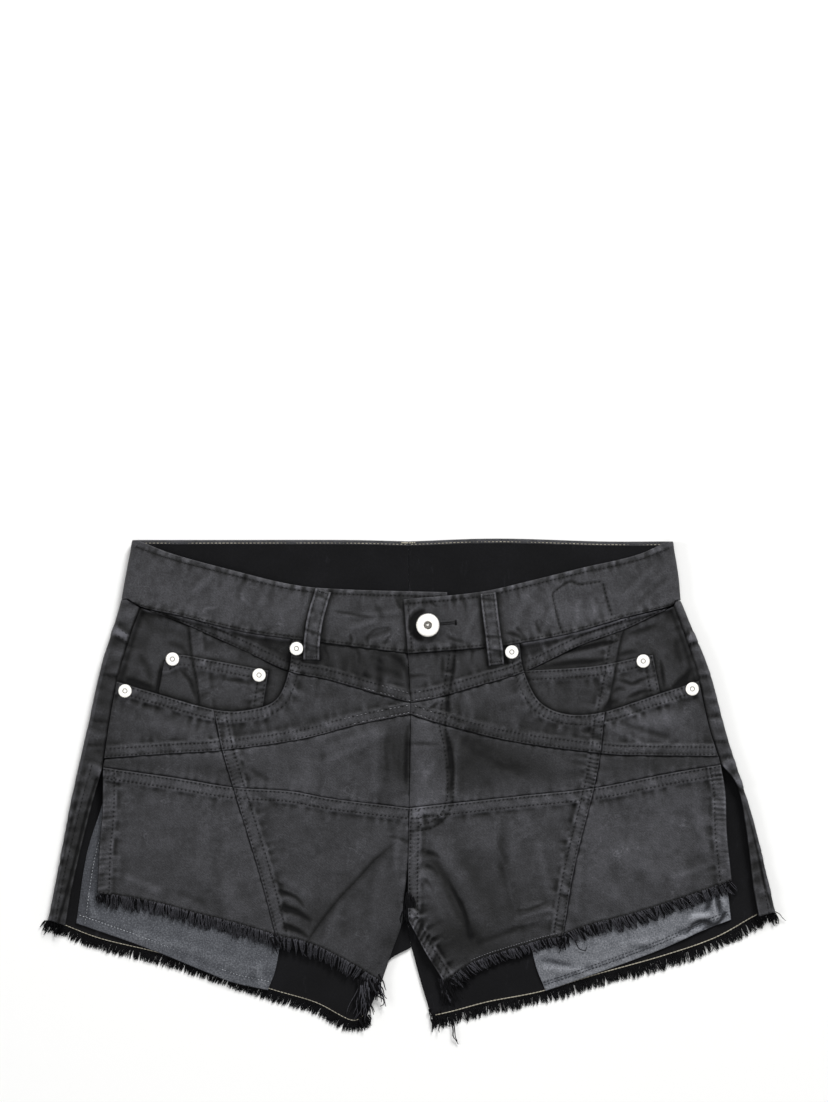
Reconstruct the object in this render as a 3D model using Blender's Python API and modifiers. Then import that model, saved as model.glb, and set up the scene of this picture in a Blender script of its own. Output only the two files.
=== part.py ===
"""Low-rise cut-off denim shorts, laid flat on their back, front upwards.

Sizes are in millimetres and go to metres where a mesh is made. +X is the wearer's left, +Y the waist
and +Z up, away from the surface that the shorts lie on. "R" and "L" are the wearer's right and left.
Every seam is one curve, and the pieces on both sides of it are laid between such curves.
"""

import math
import random
from collections import namedtuple

import bmesh
import bpy
import numpy as np
from mathutils import Vector

MM = 0.001

# Cloth and hardware, in mm.
CLOTH = 1.2          # coated denim
WAISTBAND = 2.0      # two layers of denim and their turnings
FACING = 1.0
BAG = 0.8            # chambray of a pocket bag
LOOP = 1.2
SEAM_GAP = 0.3
FELL_RISE = 0.7      # how far a felled, double-stitched band stands up
FELL_WIDTH = 8.0
PRINCESS_WIDTH = 8.5
MOUTH_WIDTH = 8.0
VENT_HEM_WIDTH = 9.5
FELL_STEP = 1.3      # width of the slope at a band's edge
LOOP_WIDTH = 11.5
BUTTON_RADIUS = 8.4
BUTTON_HEIGHT = 3.2
RIVET_RADIUS = 4.7
RIVET_HEIGHT = 1.5

# The front's outer surface above the surface that the shorts lie on.
WAIST_LOFT = 7.2
HEM_LOFT = 4.6
LOFT_TOP_Y = 110.0
LOFT_BOTTOM_Y = -110.0
INSEAM_LOFT = 3.6    # where the front leg comes down onto the back
BAND_PROUD = 0.8     # the waistband over the panels below it
LAP_RISE = 1.3       # the waistband's left end, over the right one
LAP_SINK = 1.0
LAP_START_X = 30.0
LAP_END_X = 48.0
FACING_DEPTH = (1.7, 2.9)   # under the front, at its seams and at the pocket mouth
FACING_SLOPE = 14.0
COIN_DEPTH = 1.55
BAG_LEVEL = 1.5
HEM_STATIONS = 13    # along the back hem
UNDERLAP = 10.0      # how far a facing reaches in under the pocket mouth
MOUTH_TURN = 0.80    # the share of the pocket mouth that runs along the facing's lower edge

# Frayed hems.
STRIP_WIDTH = 1.6
THREAD_PITCH = 4.6
THREAD_ROOT = 1.5
BACK_THREAD = 9.0
FRONT_THREAD = 8.0

# Moves the garment so that its box is centred on the origin.
CENTRE_X = -0.553
CENTRE_Y = 0.836

# Seams, from the side towards the centre or from the top down.
# A row is one station: x and y on the wearer's right, then x and y on the wearer's left.
SEAMS = {
    "back_waist_edge": (
        (-194.5, 171.5, 184.0, 170.5),
        (-131.0, 171.5, 136.0, 170.5),
        (-45.0, 171.5, 61.5, 172.5),
        (-1.0, 170.5, -1.0, 170.5),
    ),
    "front_waist_edge": (
        (-194.5, 171.5, 184.0, 170.5),
        (-168.5, 162.0, 158.5, 160.5),
        (-131.0, 152.0, 120.5, 152.0),
        (-83.0, 140.5, 84.0, 143.0),
        (-45.0, 137.0, 47.5, 135.0),
        (26.0, 135.0, -4.5, 130.0),
    ),
    "waist_seam": (
        (-202.0, 130.0, 189.5, 129.0),
        (-188.5, 124.0, 184.5, 125.0),
        (-161.0, 118.0, 151.0, 117.0),
        (-115.5, 107.0, 112.0, 106.0),
        (-73.0, 101.0, 75.0, 99.0),
        (-45.0, 97.5, 51.5, 96.0),
        (-1.5, 92.0, -1.5, 92.0),
    ),
    "band_side": (
        (-194.5, 171.5, 184.0, 170.5),
        (-199.0, 146.5, 188.0, 146.5),
        (-202.0, 130.0, 189.5, 129.0),
    ),
    "outline": (
        (-202.0, 130.0, 189.5, 129.0),
        (-206.0, 115.5, 196.0, 113.5),
        (-216.5, 82.5, 210.0, 79.0),
        (-225.0, 44.0, 221.5, 36.5),
        (-238.0, -13.5, 241.0, -26.5),
        (-248.5, -69.5, 252.0, -72.0),
        (-253.5, -95.0, 256.0, -89.5),
    ),
    "side_seam": (
        (-188.5, 124.0, 184.5, 125.0),
        (-195.0, 107.0, 191.5, 107.0),
        (-202.0, 83.5, 199.0, 84.5),
        (-205.5, 70.5, 202.5, 71.0),
        (-210.5, 43.5, 209.5, 40.0),
        (-215.0, 12.5, 217.5, 14.5),
    ),
    "back_vent": (
        (-215.0, 12.5, 217.5, 14.5),
        (-221.5, -10.0, 229.0, -0.5),
        (-228.5, -38.0, 235.0, -29.5),
        (-236.5, -73.0, 240.0, -69.5),
        (-241.0, -98.5, 244.0, -92.0),
    ),
    "yoke_seam": (
        (-180.0, 121.0, 178.0, 122.0),
        (-155.0, 111.5, 149.5, 108.5),
        (-115.5, 93.5, 120.5, 98.0),
        (-85.0, 79.5, 80.0, 79.0),
        (-57.0, 73.5, 48.5, 69.5),
        (-24.0, 64.0, 21.0, 61.5),
        (0.5, 57.5, 0.5, 57.5),
    ),
    "hip_seam": (
        (-213.5, 18.5, 216.0, 20.0),
        (-163.5, 22.0, 163.0, 20.5),
        (-131.5, 24.0, 133.5, 22.0),
        (-77.5, 31.5, 70.5, 30.5),
        (-37.0, 42.0, 19.0, 43.5),
        (0.5, 49.5, 0.5, 49.5),
    ),
    "leg_seam": (
        (-215.0, 12.5, 217.5, 14.5),
        (-163.5, 5.0, 180.0, 8.0),
        (-124.0, -1.5, 129.0, -2.0),
        (-84.5, -4.0, 82.5, -7.0),
        (-54.0, -9.5, 27.0, -13.0),
        (-0.5, -16.0, -0.5, -16.0),
    ),
    "princess": (
        (-137.5, 53.0, 136.5, 51.5),
        (-131.5, 24.0, 133.5, 22.0),
        (-124.0, -1.5, 129.0, -2.0),
        (-106.0, -60.5, 115.5, -57.0),
        (-94.0, -105.5, 107.5, -105.0),
    ),
    "pocket_mouth": (
        (-205.5, 72.5, 202.5, 73.0),
        (-177.0, 64.0, 171.5, 63.0),
        (-137.5, 53.0, 136.5, 51.5),
        (-114.5, 52.5, 111.0, 49.5),
        (-94.0, 59.5, 91.0, 58.0),
        (-85.0, 79.5, 80.0, 79.0),
        (-82.0, 102.5, 76.5, 99.5),
    ),
    "centre_front": (
        (-1.5, 92.0, -1.5, 92.0),
        (0.5, 57.5, 0.5, 57.5),
        (0.5, 49.5, 0.5, 49.5),
        (-0.5, -16.0, -0.5, -16.0),
        (-1.5, -54.5, -1.5, -54.5),
        (-4.5, -82.5, -1.5, -94.5),
    ),
    "front_inseam": (
        (-4.5, -82.5, -1.5, -94.5),
        (-5.5, -97.0, 4.0, -105.0),
        (-13.0, -118.0, 11.0, -118.0),
        (-20.0, -138.5, 24.0, -138.5),
    ),
    "front_vent": (
        (-215.0, 12.5, 217.5, 14.5),
        (-215.5, -19.5, 221.0, -6.0),
        (-217.5, -41.5, 222.0, -34.0),
        (-219.0, -75.5, 225.5, -67.0),
    ),
    "front_hem_outer": (
        (-219.0, -75.5, 225.5, -67.0),
        (-180.5, -82.0, 202.0, -75.5),
        (-154.5, -89.0, 158.0, -90.0),
        (-124.5, -96.5, 127.0, -98.0),
        (-94.0, -105.5, 107.5, -105.0),
    ),
    "front_hem_inner": (
        (-94.0, -105.5, 107.5, -105.0),
        (-71.0, -111.0, 83.5, -111.5),
        (-44.5, -123.5, 45.5, -124.0),
        (-20.0, -138.5, 24.0, -138.5),
    ),
    "back_hem": (
        (-253.5, -95.0, 256.0, -89.5),
        (-243.0, -99.0, 244.5, -91.5),
        (-216.5, -109.0, 214.5, -108.0),
        (-173.0, -119.5, 177.0, -121.0),
        (-136.5, -131.0, 127.0, -135.0),
        (-98.5, -144.0, 91.5, -146.0),
        (-66.5, -153.5, 55.5, -153.0),
        (-41.5, -166.0, 31.0, -159.5),
        (-30.0, -161.5, 15.5, -163.0),
    ),
    "back_inseam": (
        (1.0, -114.0, 1.0, -114.0),
        (-15.0, -123.5, 7.5, -138.0),
        (-21.0, -140.0, 13.0, -156.0),
        (-30.0, -161.5, 15.5, -163.0),
    ),
    "bag_outer": (
        (-205.0, 52.0, 201.0, 52.0),
        (-213.5, -5.0, 213.0, -5.0),
        (-226.5, -48.0, 220.0, -52.5),
        (-234.0, -97.0, 225.0, -94.5),
    ),
    "bag_hem": (
        (-234.0, -97.0, 225.0, -94.5),
        (-185.5, -114.0, 204.5, -102.5),
        (-143.5, -131.0, 174.5, -116.0),
        (-124.5, -138.5, 127.0, -133.5),
        (-99.5, -144.0, 95.0, -144.5),
    ),
    "bag_inner": (
        (-84.0, 42.0, 80.0, 38.0),
        (-85.0, -52.5, 78.5, -66.5),
        (-92.5, -121.0, 86.5, -120.5),
        (-99.5, -144.0, 95.0, -144.5),
    ),
    "coin_top": (
        (-172.0, 86.5, 170.0, 91.0),
        (-161.5, 91.0, 158.5, 89.0),
        (-150.0, 89.5, 127.0, 83.0),
        (-99.0, 80.0, 78.5, 79.9),
    ),
    "coin_bottom": (
        (-177.0, 60.0, 176.0, 60.0),
        (-158.0, 53.8, 140.0, 46.5),
        (-128.0, 49.0, 112.0, 44.5),
        (-103.5, 50.5, 86.0, 53.0),
    ),
    "loop_line": (
        (-60.5, 136.5, 54.5, 134.5),
        (-66.0, 117.5, 56.5, 117.5),
        (-68.5, 101.5, 59.0, 98.0),
        (-69.0, 87.5, 60.5, 84.0),
    ),
}
CENTRE_BACK_X = -1.0
BACK_WAIST_Y = 128.5
CROTCH_Y = -114.0

# Where the yoke seam meets the pocket mouth, and where the princess seam meets the other seams.
CROSSINGS = {
    ("yoke", "R"): (-85.0, 79.5), ("yoke", "L"): (80.0, 79.0),
    ("mouth", "R"): (-137.5, 53.0), ("mouth", "L"): (136.5, 51.5),
    ("hip", "R"): (-131.5, 24.0), ("hip", "L"): (133.5, 22.0),
    ("leg", "R"): (-124.0, -1.5), ("leg", "L"): (129.0, -2.0),
}

# Folds in the laid cloth: a soft ridge or, where rise is negative, a trough along a straight run.
Fold = namedtuple("Fold", "start_x start_y end_x end_y rise reach")
FOLDS = (
    Fold(-8, -46, -34, -66, -1.0, 5.0),       # right leg, from the crotch out to the hem
    Fold(-34, -66, -70, -107, -1.3, 6.0),
    Fold(-2, -62, -38, -102, 1.3, 10.0),
    Fold(-88, -87, -67, -97, 1.0, 4.5),
    Fold(-90, -103, -68, -99, -0.8, 3.5),
    Fold(-9, 44, -10, -12, 1.1, 5.0),         # beside the fly
    Fold(-16, 88, -14, 68, 0.9, 5.0),
    Fold(-52, 22, -20, 38, 0.8, 6.0),
    Fold(62, -24, 66, -60, -1.0, 5.0),        # left leg
    Fold(66, -60, 74, -86, -0.8, 5.0),
    Fold(15, -50, 42, -104, -1.1, 6.0),
    Fold(26, -52, 52, -100, 1.0, 8.0),
    Fold(77, -92, 97, -86, 0.9, 4.5),
    Fold(40, 30, 72, 12, -0.7, 6.0),
    Fold(-150, -60, -120, -84, 0.7, 9.0),     # the flaps over the pocket bags
    Fold(150, -50, 186, -66, 0.7, 9.0),
    Fold(-176, 42, -150, 34, 0.7, 7.0),
    Fold(150, 42, 178, 46, 0.7, 7.0),
)

# Hardware: name, x, y, and the cloth that it is riveted through.
Rivet = namedtuple("Rivet", "name x y on")
RIVETS = (
    Rivet("rivet_1", -79.4, 95.6, "front"),
    Rivet("rivet_2", -166.2, 88.2, "coin"),
    Rivet("rivet_3", -105.6, 77.0, "coin"),
    Rivet("rivet_4", -199.3, 66.0, "front"),
    Rivet("rivet_5", 71.2, 93.2, "front"),
    Rivet("rivet_6", 163.2, 86.8, "coin"),
    Rivet("rivet_7", 197.4, 67.4, "front"),
)
BUTTON_AT = (12.5, 112.0)

COATED = (0.045, 0.045, 0.050)
COATED_DARK = (0.034, 0.034, 0.037)
CHAMBRAY = (0.110, 0.125, 0.150)
NICKEL = (0.780, 0.780, 0.760)
RAW_THREAD = (0.020, 0.020, 0.022)

SIDES = {"R": 0, "L": 1}
OUTWARD = {"R": -1.0, "L": 1.0}


# ---------------------------------------------------------------- curves

class Curve:
    """A smooth line through points in plan, read by its length from 0 to 1."""

    def __init__(self, points, smooth=8):
        points = np.array(points, float)
        if smooth and len(points) > 2:
            points = through(points, smooth)
        steps = np.linalg.norm(np.diff(points, axis=0), axis=1)
        self.points = points
        self.length = steps.sum()
        self.at = np.concatenate([[0.0], np.cumsum(steps)]) / self.length

    def __call__(self, u):
        return np.array([np.interp(u, self.at, self.points[:, k]) for k in (0, 1)]).T

    def nearest(self, point):
        u = np.linspace(0.0, 1.0, 801)
        return u[np.argmin(np.linalg.norm(self(u) - np.array(point), axis=1))]

    def part(self, first, last, steps=40):
        """The stretch between the stations nearest to two points."""
        return Curve(self(np.linspace(self.nearest(first), self.nearest(last), steps)), smooth=0)


def through(points, steps):
    """Catmull-Rom points through the given ones."""
    padded = np.vstack([2 * points[0] - points[1], points, 2 * points[-1] - points[-2]])
    t = np.linspace(0.0, 1.0, steps, endpoint=False)[:, None]
    runs = []
    for a, b, c, d in zip(padded, padded[1:], padded[2:], padded[3:]):
        runs.append(0.5 * (2 * b + (c - a) * t + (2 * a - 5 * b + 4 * c - d) * t**2
                           + (3 * b - a - 3 * c + d) * t**3))
    return np.vstack([*runs, points[-1:]])


def joined(*curves):
    points = [curves[0].points] + [curve.points[1:] for curve in curves[1:]]
    return Curve(np.vstack(points), smooth=0)


def straight(first, last):
    return Curve(np.array([first, last], float))


def seam(name, side):
    column = 2 * SIDES[side]
    return Curve([row[column:column + 2] for row in SEAMS[name]])


# ---------------------------------------------------------------- heights

def smooth_step(value):
    value = np.clip(value, 0.0, 1.0)
    return value * value * (3.0 - 2.0 * value)


def folds_at(x, y):
    """What the laid folds add to the height of the front."""
    total = np.zeros(np.shape(x))
    for fold in FOLDS:
        run = np.array([fold.end_x - fold.start_x, fold.end_y - fold.start_y], float)
        length = np.linalg.norm(run)
        run /= length
        along = (x - fold.start_x) * run[0] + (y - fold.start_y) * run[1]
        across = (y - fold.start_y) * run[0] - (x - fold.start_x) * run[1]
        over = np.clip(np.abs(along - length / 2) - length / 2, 0.0, None)
        total += fold.rise * np.exp(-(across / fold.reach) ** 2 - (over / (1.4 * fold.reach)) ** 2)
    return total


def loft(x, y):
    """Height of the front's outer surface, without folds."""
    down = (LOFT_TOP_Y - np.asarray(y, float)) / (LOFT_TOP_Y - LOFT_BOTTOM_Y)
    return WAIST_LOFT + (HEM_LOFT - WAIST_LOFT) * smooth_step(down)


def inseam_drop(x, y):
    """How far the front leg comes down where its inner edge meets the back."""
    drop = np.zeros(np.shape(x))
    for side in SIDES:
        points = seam("front_inseam", side)(np.linspace(0.0, 1.0, 25))
        apart = np.sqrt((np.asarray(x)[..., None] - points[:, 0]) ** 2
                        + (np.asarray(y)[..., None] - points[:, 1]) ** 2).min(axis=-1)
        near = 1.0 - smooth_step(apart / 16.0)
        drop = np.maximum(drop, near * (loft(x, y) - INSEAM_LOFT))
    return drop


def front_height(x, y):
    return loft(x, y) + folds_at(x, y) - inseam_drop(x, y)


# ---------------------------------------------------------------- cloth

def stations(count, low_band, high_band, length):
    """Where the grid lines of a piece run, with a band along either edge: fractions of its length."""
    low = [0.0]
    high = [1.0]
    if low_band:
        low += [low_band / length, (low_band + FELL_STEP) / length]
    if high_band:
        high = [1.0 - (high_band + FELL_STEP) / length, 1.0 - high_band / length, 1.0]
    middle = low[-1] + (high[0] - low[-1]) * np.linspace(0.0, 1.0, count + 1)[1:-1]
    return np.array([*low, *middle, *high])


def between(top, bottom, left, right, columns, rows, bands):
    """A grid of plan points laid between four seams, and which of them lie on a felled band."""
    band = {edge: bands.get(edge, 0.0) for edge in ("top", "bottom", "left", "right")}
    nominal_s = stations(columns, band["left"], band["right"], 0.5 * (top.length + bottom.length))
    nominal_t = stations(rows, band["top"], band["bottom"], 0.5 * (left.length + right.length))
    height, width = len(nominal_t), len(nominal_s)
    plan = np.zeros((height, width, 2))
    corner = {(0, 0): top(0.0), (0, 1): top(1.0), (1, 0): bottom(0.0), (1, 1): bottom(1.0)}
    for i, t0 in enumerate(nominal_t):
        reach = np.linalg.norm(right(t0) - left(t0))
        across = stations(columns, band["left"], band["right"], reach)
        for j, s0 in enumerate(nominal_s):
            down = stations(rows, band["top"], band["bottom"], np.linalg.norm(bottom(s0) - top(s0)))
            s, t = across[j], down[i]
            flat = ((1 - s) * (1 - t) * corner[0, 0] + s * (1 - t) * corner[0, 1]
                    + (1 - s) * t * corner[1, 0] + s * t * corner[1, 1])
            plan[i, j] = ((1 - t) * top(s) + t * bottom(s) + (1 - s) * left(t) + s * right(t) - flat)
    on_band = np.zeros((height, width), bool)
    on_band[:2 if band["top"] else 0, :] = True
    on_band[height - 2 if band["bottom"] else height:, :] = True
    on_band[:, :2 if band["left"] else 0] = True
    on_band[:, width - 2 if band["right"] else width:] = True
    return plan, on_band


def parted(plan, gap=SEAM_GAP / 2):
    """Draws a grid's edge in by half of the gap at a seam."""
    drawn = plan.copy()
    for edge, inner in ((0, 1), (-1, -2)):
        for line, moved, axis in ((plan[edge], plan[inner], 0), (plan[:, edge], plan[:, inner], 1)):
            run = moved - line
            step = gap * run / np.maximum(np.linalg.norm(run, axis=1, keepdims=True), 1e-6)
            if axis == 0:
                drawn[edge] += step
            else:
                drawn[:, edge] += step
    return drawn


def raised(plan, height, on_band=None):
    """Plan points with their heights, felled bands standing up."""
    z = np.array(height, float)
    if on_band is not None:
        z = z + FELL_RISE * on_band
    return np.dstack([plan, z])


def finish(name, colour, metallic=0.0, roughness=0.75):
    material = bpy.data.materials.new(name)
    material.use_nodes = True
    shader = material.node_tree.nodes["Principled BSDF"]
    shader.inputs["Base Color"].default_value = (*colour, 1.0)
    shader.inputs["Metallic"].default_value = metallic
    shader.inputs["Roughness"].default_value = roughness
    return material


def placed(name, mesh, material):
    piece = bpy.data.objects.new(name, mesh)
    mesh.materials.append(material)
    bpy.data.collections["denim_shorts"].objects.link(piece)
    return piece


def cloth(name, grid, wall, colour, face_up):
    """A wall of cloth under an open grid of outer points: Solidify gives it its thickness."""
    rows, columns = grid.shape[:2]
    moved = (grid + np.array([CENTRE_X, CENTRE_Y, 0.0])) * MM
    sheet = bmesh.new()
    points = [[sheet.verts.new(Vector(point)) for point in row] for row in moved]
    for i in range(rows - 1):
        for j in range(columns - 1):
            corners = [points[i][j], points[i][j + 1], points[i + 1][j + 1], points[i + 1][j]]
            sheet.faces.new(corners if face_up else corners[::-1])
    mesh = bpy.data.meshes.new(name)
    sheet.to_mesh(mesh)
    sheet.free()
    piece = placed(name, mesh, finish(name, colour))
    mesh.shade_smooth()
    solidify = piece.modifiers.new("cloth", "SOLIDIFY")
    solidify.thickness = wall * MM
    solidify.offset = -1.0
    return piece


def front_panel(name, side, edges, columns, rows, bands, colour=COATED):
    """A panel of the front: edges are its top, bottom, outer and inner seams."""
    plan, on_band = between(*edges, columns, rows, bands)
    plan = parted(plan)
    grid = raised(plan, front_height(plan[..., 0], plan[..., 1]), on_band)
    return cloth(f"{name}_{side}", grid, CLOTH, colour, face_up=side == "L")


# ---------------------------------------------------------------- the pieces

def wrapped(flat_plan, front_plan, heights, outward, steps=6):
    """A grid that runs flat along the underside, round the folded side and onto the front."""
    rows = []
    for flat, front, height in zip(flat_plan, front_plan, heights):
        radius = height[0] / 2
        flat_row = [(x, y, 0.0) for x, y in flat]
        turn = []
        for angle in np.linspace(-math.pi / 2, math.pi / 2, steps + 1)[1:-1]:
            out = radius * (1.0 - math.cos(angle))
            x = flat[-1][0] + outward * (radius - out)
            y = flat[-1][1] + (front[0][1] - flat[-1][1]) * (0.5 + angle / math.pi)
            turn.append((x, y, radius + radius * math.sin(angle)))
        front_row = [(x, y, z) for (x, y), z in zip(front, height)]
        rows.append(flat_row + turn + front_row)
    return np.array(rows)


def back_waist(side):
    """The seam under the back waistband, from the centre back to the side."""
    return straight((CENTRE_BACK_X, BACK_WAIST_Y), seam("outline", side)(0.0))


def back_hem_line(side):
    """The back hem as the back panel's own edge has it, from the side to the inseam."""
    hem = seam("back_hem", side)
    return Curve(hem(np.linspace(0.0, 1.0, HEM_STATIONS)), smooth=0)


def back_panel(side):
    """One half of the back, from the centre back seam round the side to the side seam and vent hem."""
    outward = OUTWARD[side]
    outline = seam("outline", side)
    edge = joined(seam("side_seam", side), seam("back_vent", side))
    centre = straight((CENTRE_BACK_X, BACK_WAIST_Y), (CENTRE_BACK_X, CROTCH_Y + 12.0))
    inner = Curve(np.vstack([centre.points, seam("back_inseam", side).points]), smooth=0)
    hem = back_hem_line(side)
    seat = back_waist(side)
    top = straight(seat(1.0), seat(0.0))
    down = 13
    flat_plan, front_plan, heights = [], [], []
    for t in np.linspace(0.0, 1.0, down):
        turn = outline(t)
        radius = loft(*turn) / 2
        base = turn - np.array([outward * radius, 0.0])
        s = np.linspace(1.0, 0.0, HEM_STATIONS)
        sheet = [(1 - t) * top(u) + t * hem(u) + (1 - u) * turn + u * inner(t)
                 - ((1 - u) * (1 - t) * top(0.0) + u * (1 - t) * top(1.0)
                    + (1 - u) * t * hem(0.0) + u * t * hem(1.0)) for u in s]
        sheet = np.array(sheet)
        sheet[-1] = base
        flat_plan.append(sheet)
        last = edge(t) + np.array([outward * SEAM_GAP, 0.0])
        least = base[0] - outward * 0.8
        last[0] = min(last[0], least) if side == "L" else max(last[0], least)
        strip = np.array([base + (last - base) * u for u in (0.0, 0.5, 1.0)])
        front_plan.append(strip)
        level = loft(strip[:, 0], strip[:, 1])
        heights.append(level)
    grid = wrapped(flat_plan, front_plan, heights, outward)
    grid[:, 0, 0] += outward * SEAM_GAP / 2
    return cloth(f"back_{side}", grid, CLOTH, COATED, face_up=side == "L")


def band_height(x, y, side):
    """The waistband's outer surface: its left end laps over the right one at the centre front."""
    lap = 1.0 - smooth_step((x - LAP_START_X) / (LAP_END_X - LAP_START_X))
    if side == "L":
        return loft(x, y) + BAND_PROUD + LAP_RISE * lap
    return loft(x, y) + BAND_PROUD - LAP_SINK * smooth_step((x + 30.0) / 24.0)


def waistband(side):
    """One half of the waistband, from the centre back round the side to the centre front."""
    outward = OUTWARD[side]
    fall = (0.0, 0.09, 0.36, 0.64, 0.91, 1.0)
    side_line = seam("band_side", side)
    back_edge = seam("back_waist_edge", side)
    front_edge = seam("front_waist_edge", side)
    end_x = front_edge(1.0)[0]
    waist = seam("waist_seam", side)
    under = waist
    if side == "R":
        under = Curve(np.vstack([waist.points, [[end_x, 95.0]]]), smooth=0)
    seat = back_waist(side)
    flat_plan, front_plan, heights = [], [], []
    for t in fall:
        turn = side_line(t) + np.array([0.0, SEAM_GAP * t])
        radius = (loft(*turn) + BAND_PROUD) / 2
        base = turn - np.array([outward * radius, 0.0])
        behind = np.array([back_edge(1.0 - u) * (1 - t) + (seat(u) + np.array([0.0, SEAM_GAP])) * t
                           for u in np.linspace(0.0, 1.0, 9)])
        behind[-1] = base
        flat_plan.append(behind)
        line = np.array([front_edge(u) * (1 - t) + (under(u) + np.array([0.0, SEAM_GAP])) * t
                         for u in np.linspace(0.0, 1.0, 15)])
        line[:, 0] += (base[0] - line[0, 0]) * np.linspace(1.0, 0.0, 15) ** 6
        line[0, 1] = turn[1]
        front_plan.append(line)
        heights.append(band_height(line[:, 0], line[:, 1], side))
    grid = wrapped(flat_plan, front_plan, heights, outward)
    grid[:, 0, 0] += outward * SEAM_GAP / 2
    return cloth(f"waistband_{side}", grid, WAISTBAND, COATED, face_up=side == "L")


def facing_depth(plan, side):
    """How far the pocket facing lies under the front: least at the seams that hold it."""
    nearest = np.full(plan.shape[:2], np.inf)
    for name in ("waist_seam", "side_seam"):
        line = seam(name, side)(np.linspace(0.0, 1.0, 60))
        apart = np.sqrt(((plan[..., None, :] - line) ** 2).sum(axis=-1)).min(axis=-1)
        nearest = np.minimum(nearest, apart)
    shallow, deep = FACING_DEPTH
    return shallow + (deep - shallow) * smooth_step(nearest / FACING_SLOPE)


def facings(side):
    """The cloth seen in the pocket mouth, in two pieces that meet at the yoke seam's line."""
    outward = OUTWARD[side]
    yoke, waist, mouth = seam("yoke_seam", side), seam("waist_seam", side), seam("pocket_mouth", side)
    side_top = seam("side_seam", side)(0.0)
    tuck = np.array([-outward * UNDERLAP, 0.0])
    slant = yoke.part(yoke(0.0), np.array(CROSSINGS["yoke", side]) + tuck)
    top = waist.part(slant(0.0) + np.array([outward * 2.0, 2.0]), mouth(1.0) + tuck)
    upper = between(top, slant, straight(top(0.0), slant(0.0)),
                    straight(top(1.0), slant(1.0)), 8, 3, {})[0]

    low = Curve(mouth.points[mouth.at < MOUTH_TURN] + np.array([-outward, -UNDERLAP]), smooth=0)
    low_start = low(0.0) - np.array([outward * 1.5, 0.0])
    low_end = low(1.0) + tuck
    bottom = joined(straight(low_start, low(0.0)), low, straight(low(1.0), low_end))
    above = joined(straight(side_top, slant(0.0)), slant)
    lower = between(above, bottom, straight(side_top, low_start),
                    straight(slant(1.0), low_end), 14, 7, {})[0]

    for name, plan in (("facing_top", upper), ("facing", lower)):
        plan = parted(plan)
        height = front_height(plan[..., 0], plan[..., 1]) - facing_depth(plan, side)
        cloth(f"{name}_{side}", raised(plan, height), FACING, COATED_DARK, face_up=side == "L")


def coin_pocket(side):
    top, bottom = seam("coin_top", side), seam("coin_bottom", side)
    plan, _ = between(top, bottom, straight(top(0.0), bottom(0.0)),
                      straight(top(1.0), bottom(1.0)), 8, 4, {})
    height = front_height(plan[..., 0], plan[..., 1]) - COIN_DEPTH
    cloth(f"coin_pocket_{side}", raised(plan, height), FACING, COATED, face_up=side == "L")


def pocket_bag(side):
    """The bag between the front and the back. Its lower part shows under the front's hem."""
    outer, inner, hem = seam("bag_outer", side), seam("bag_inner", side), seam("bag_hem", side)
    top = straight(outer(0.0), inner(0.0))
    plan, _ = between(top, hem, outer, inner, 9, 8, {})
    height = np.full(plan.shape[:2], BAG_LEVEL + BAG)
    cloth(f"bag_{side}", raised(plan, height), BAG, CHAMBRAY, face_up=side == "L")


def front_panels(side):
    waist, yoke, hip = seam("waist_seam", side), seam("yoke_seam", side), seam("hip_seam", side)
    leg, princess, mouth = seam("leg_seam", side), seam("princess", side), seam("pocket_mouth", side)
    centre, side_line = seam("centre_front", side), seam("side_seam", side)
    corner, turn = CROSSINGS["yoke", side], CROSSINGS["mouth", side]
    hip_cross, leg_cross = CROSSINGS["hip", side], CROSSINGS["leg", side]

    front_panel("yoke", side, (
        waist.part(mouth(1.0), waist(1.0)),
        yoke.part(corner, yoke(1.0)),
        mouth.part(mouth(1.0), corner),
        centre.part(centre(0.0), yoke(1.0)),
    ), 8, 4, {"bottom": FELL_WIDTH})

    front_panel("upper", side, (
        joined(mouth.part(turn, corner), yoke.part(corner, yoke(1.0))),
        hip.part(hip_cross, hip(1.0)),
        princess.part(princess(0.0), hip_cross),
        centre.part(yoke(1.0), hip(1.0)),
    ), 14, 4, {"bottom": FELL_WIDTH * 0.5})

    front_panel("hip", side, (
        mouth.part(mouth(0.0), turn),
        hip.part(hip(0.0), hip_cross),
        side_line.part(mouth(0.0), hip(0.0)),
        princess.part(princess(0.0), hip_cross),
    ), 8, 3, {"top": MOUTH_WIDTH, "bottom": FELL_WIDTH})

    front_panel("wedge_out", side, (
        hip.part(hip(0.0), hip_cross),
        leg.part(leg(0.0), leg_cross),
        straight(hip(0.0), leg(0.0)),
        princess.part(hip_cross, leg_cross),
    ), 8, 2, {}, COATED_DARK)

    front_panel("wedge_in", side, (
        hip.part(hip_cross, hip(1.0)),
        leg.part(leg_cross, leg(1.0)),
        princess.part(hip_cross, leg_cross),
        centre.part(hip(1.0), leg(1.0)),
    ), 12, 5, {"left": PRINCESS_WIDTH}, COATED_DARK)

    front_panel("leg_out", side, (
        leg.part(leg(0.0), leg_cross),
        seam("front_hem_outer", side),
        seam("front_vent", side),
        princess.part(leg_cross, princess(1.0)),
    ), 8, 8, {"top": FELL_WIDTH, "left": VENT_HEM_WIDTH})

    front_panel("leg_in", side, (
        leg.part(leg_cross, leg(1.0)),
        seam("front_hem_inner", side),
        princess.part(leg_cross, princess(1.0)),
        joined(centre.part(leg(1.0), centre(1.0)), seam("front_inseam", side)),
    ), 12, 12, {"top": FELL_WIDTH, "left": PRINCESS_WIDTH})


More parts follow.
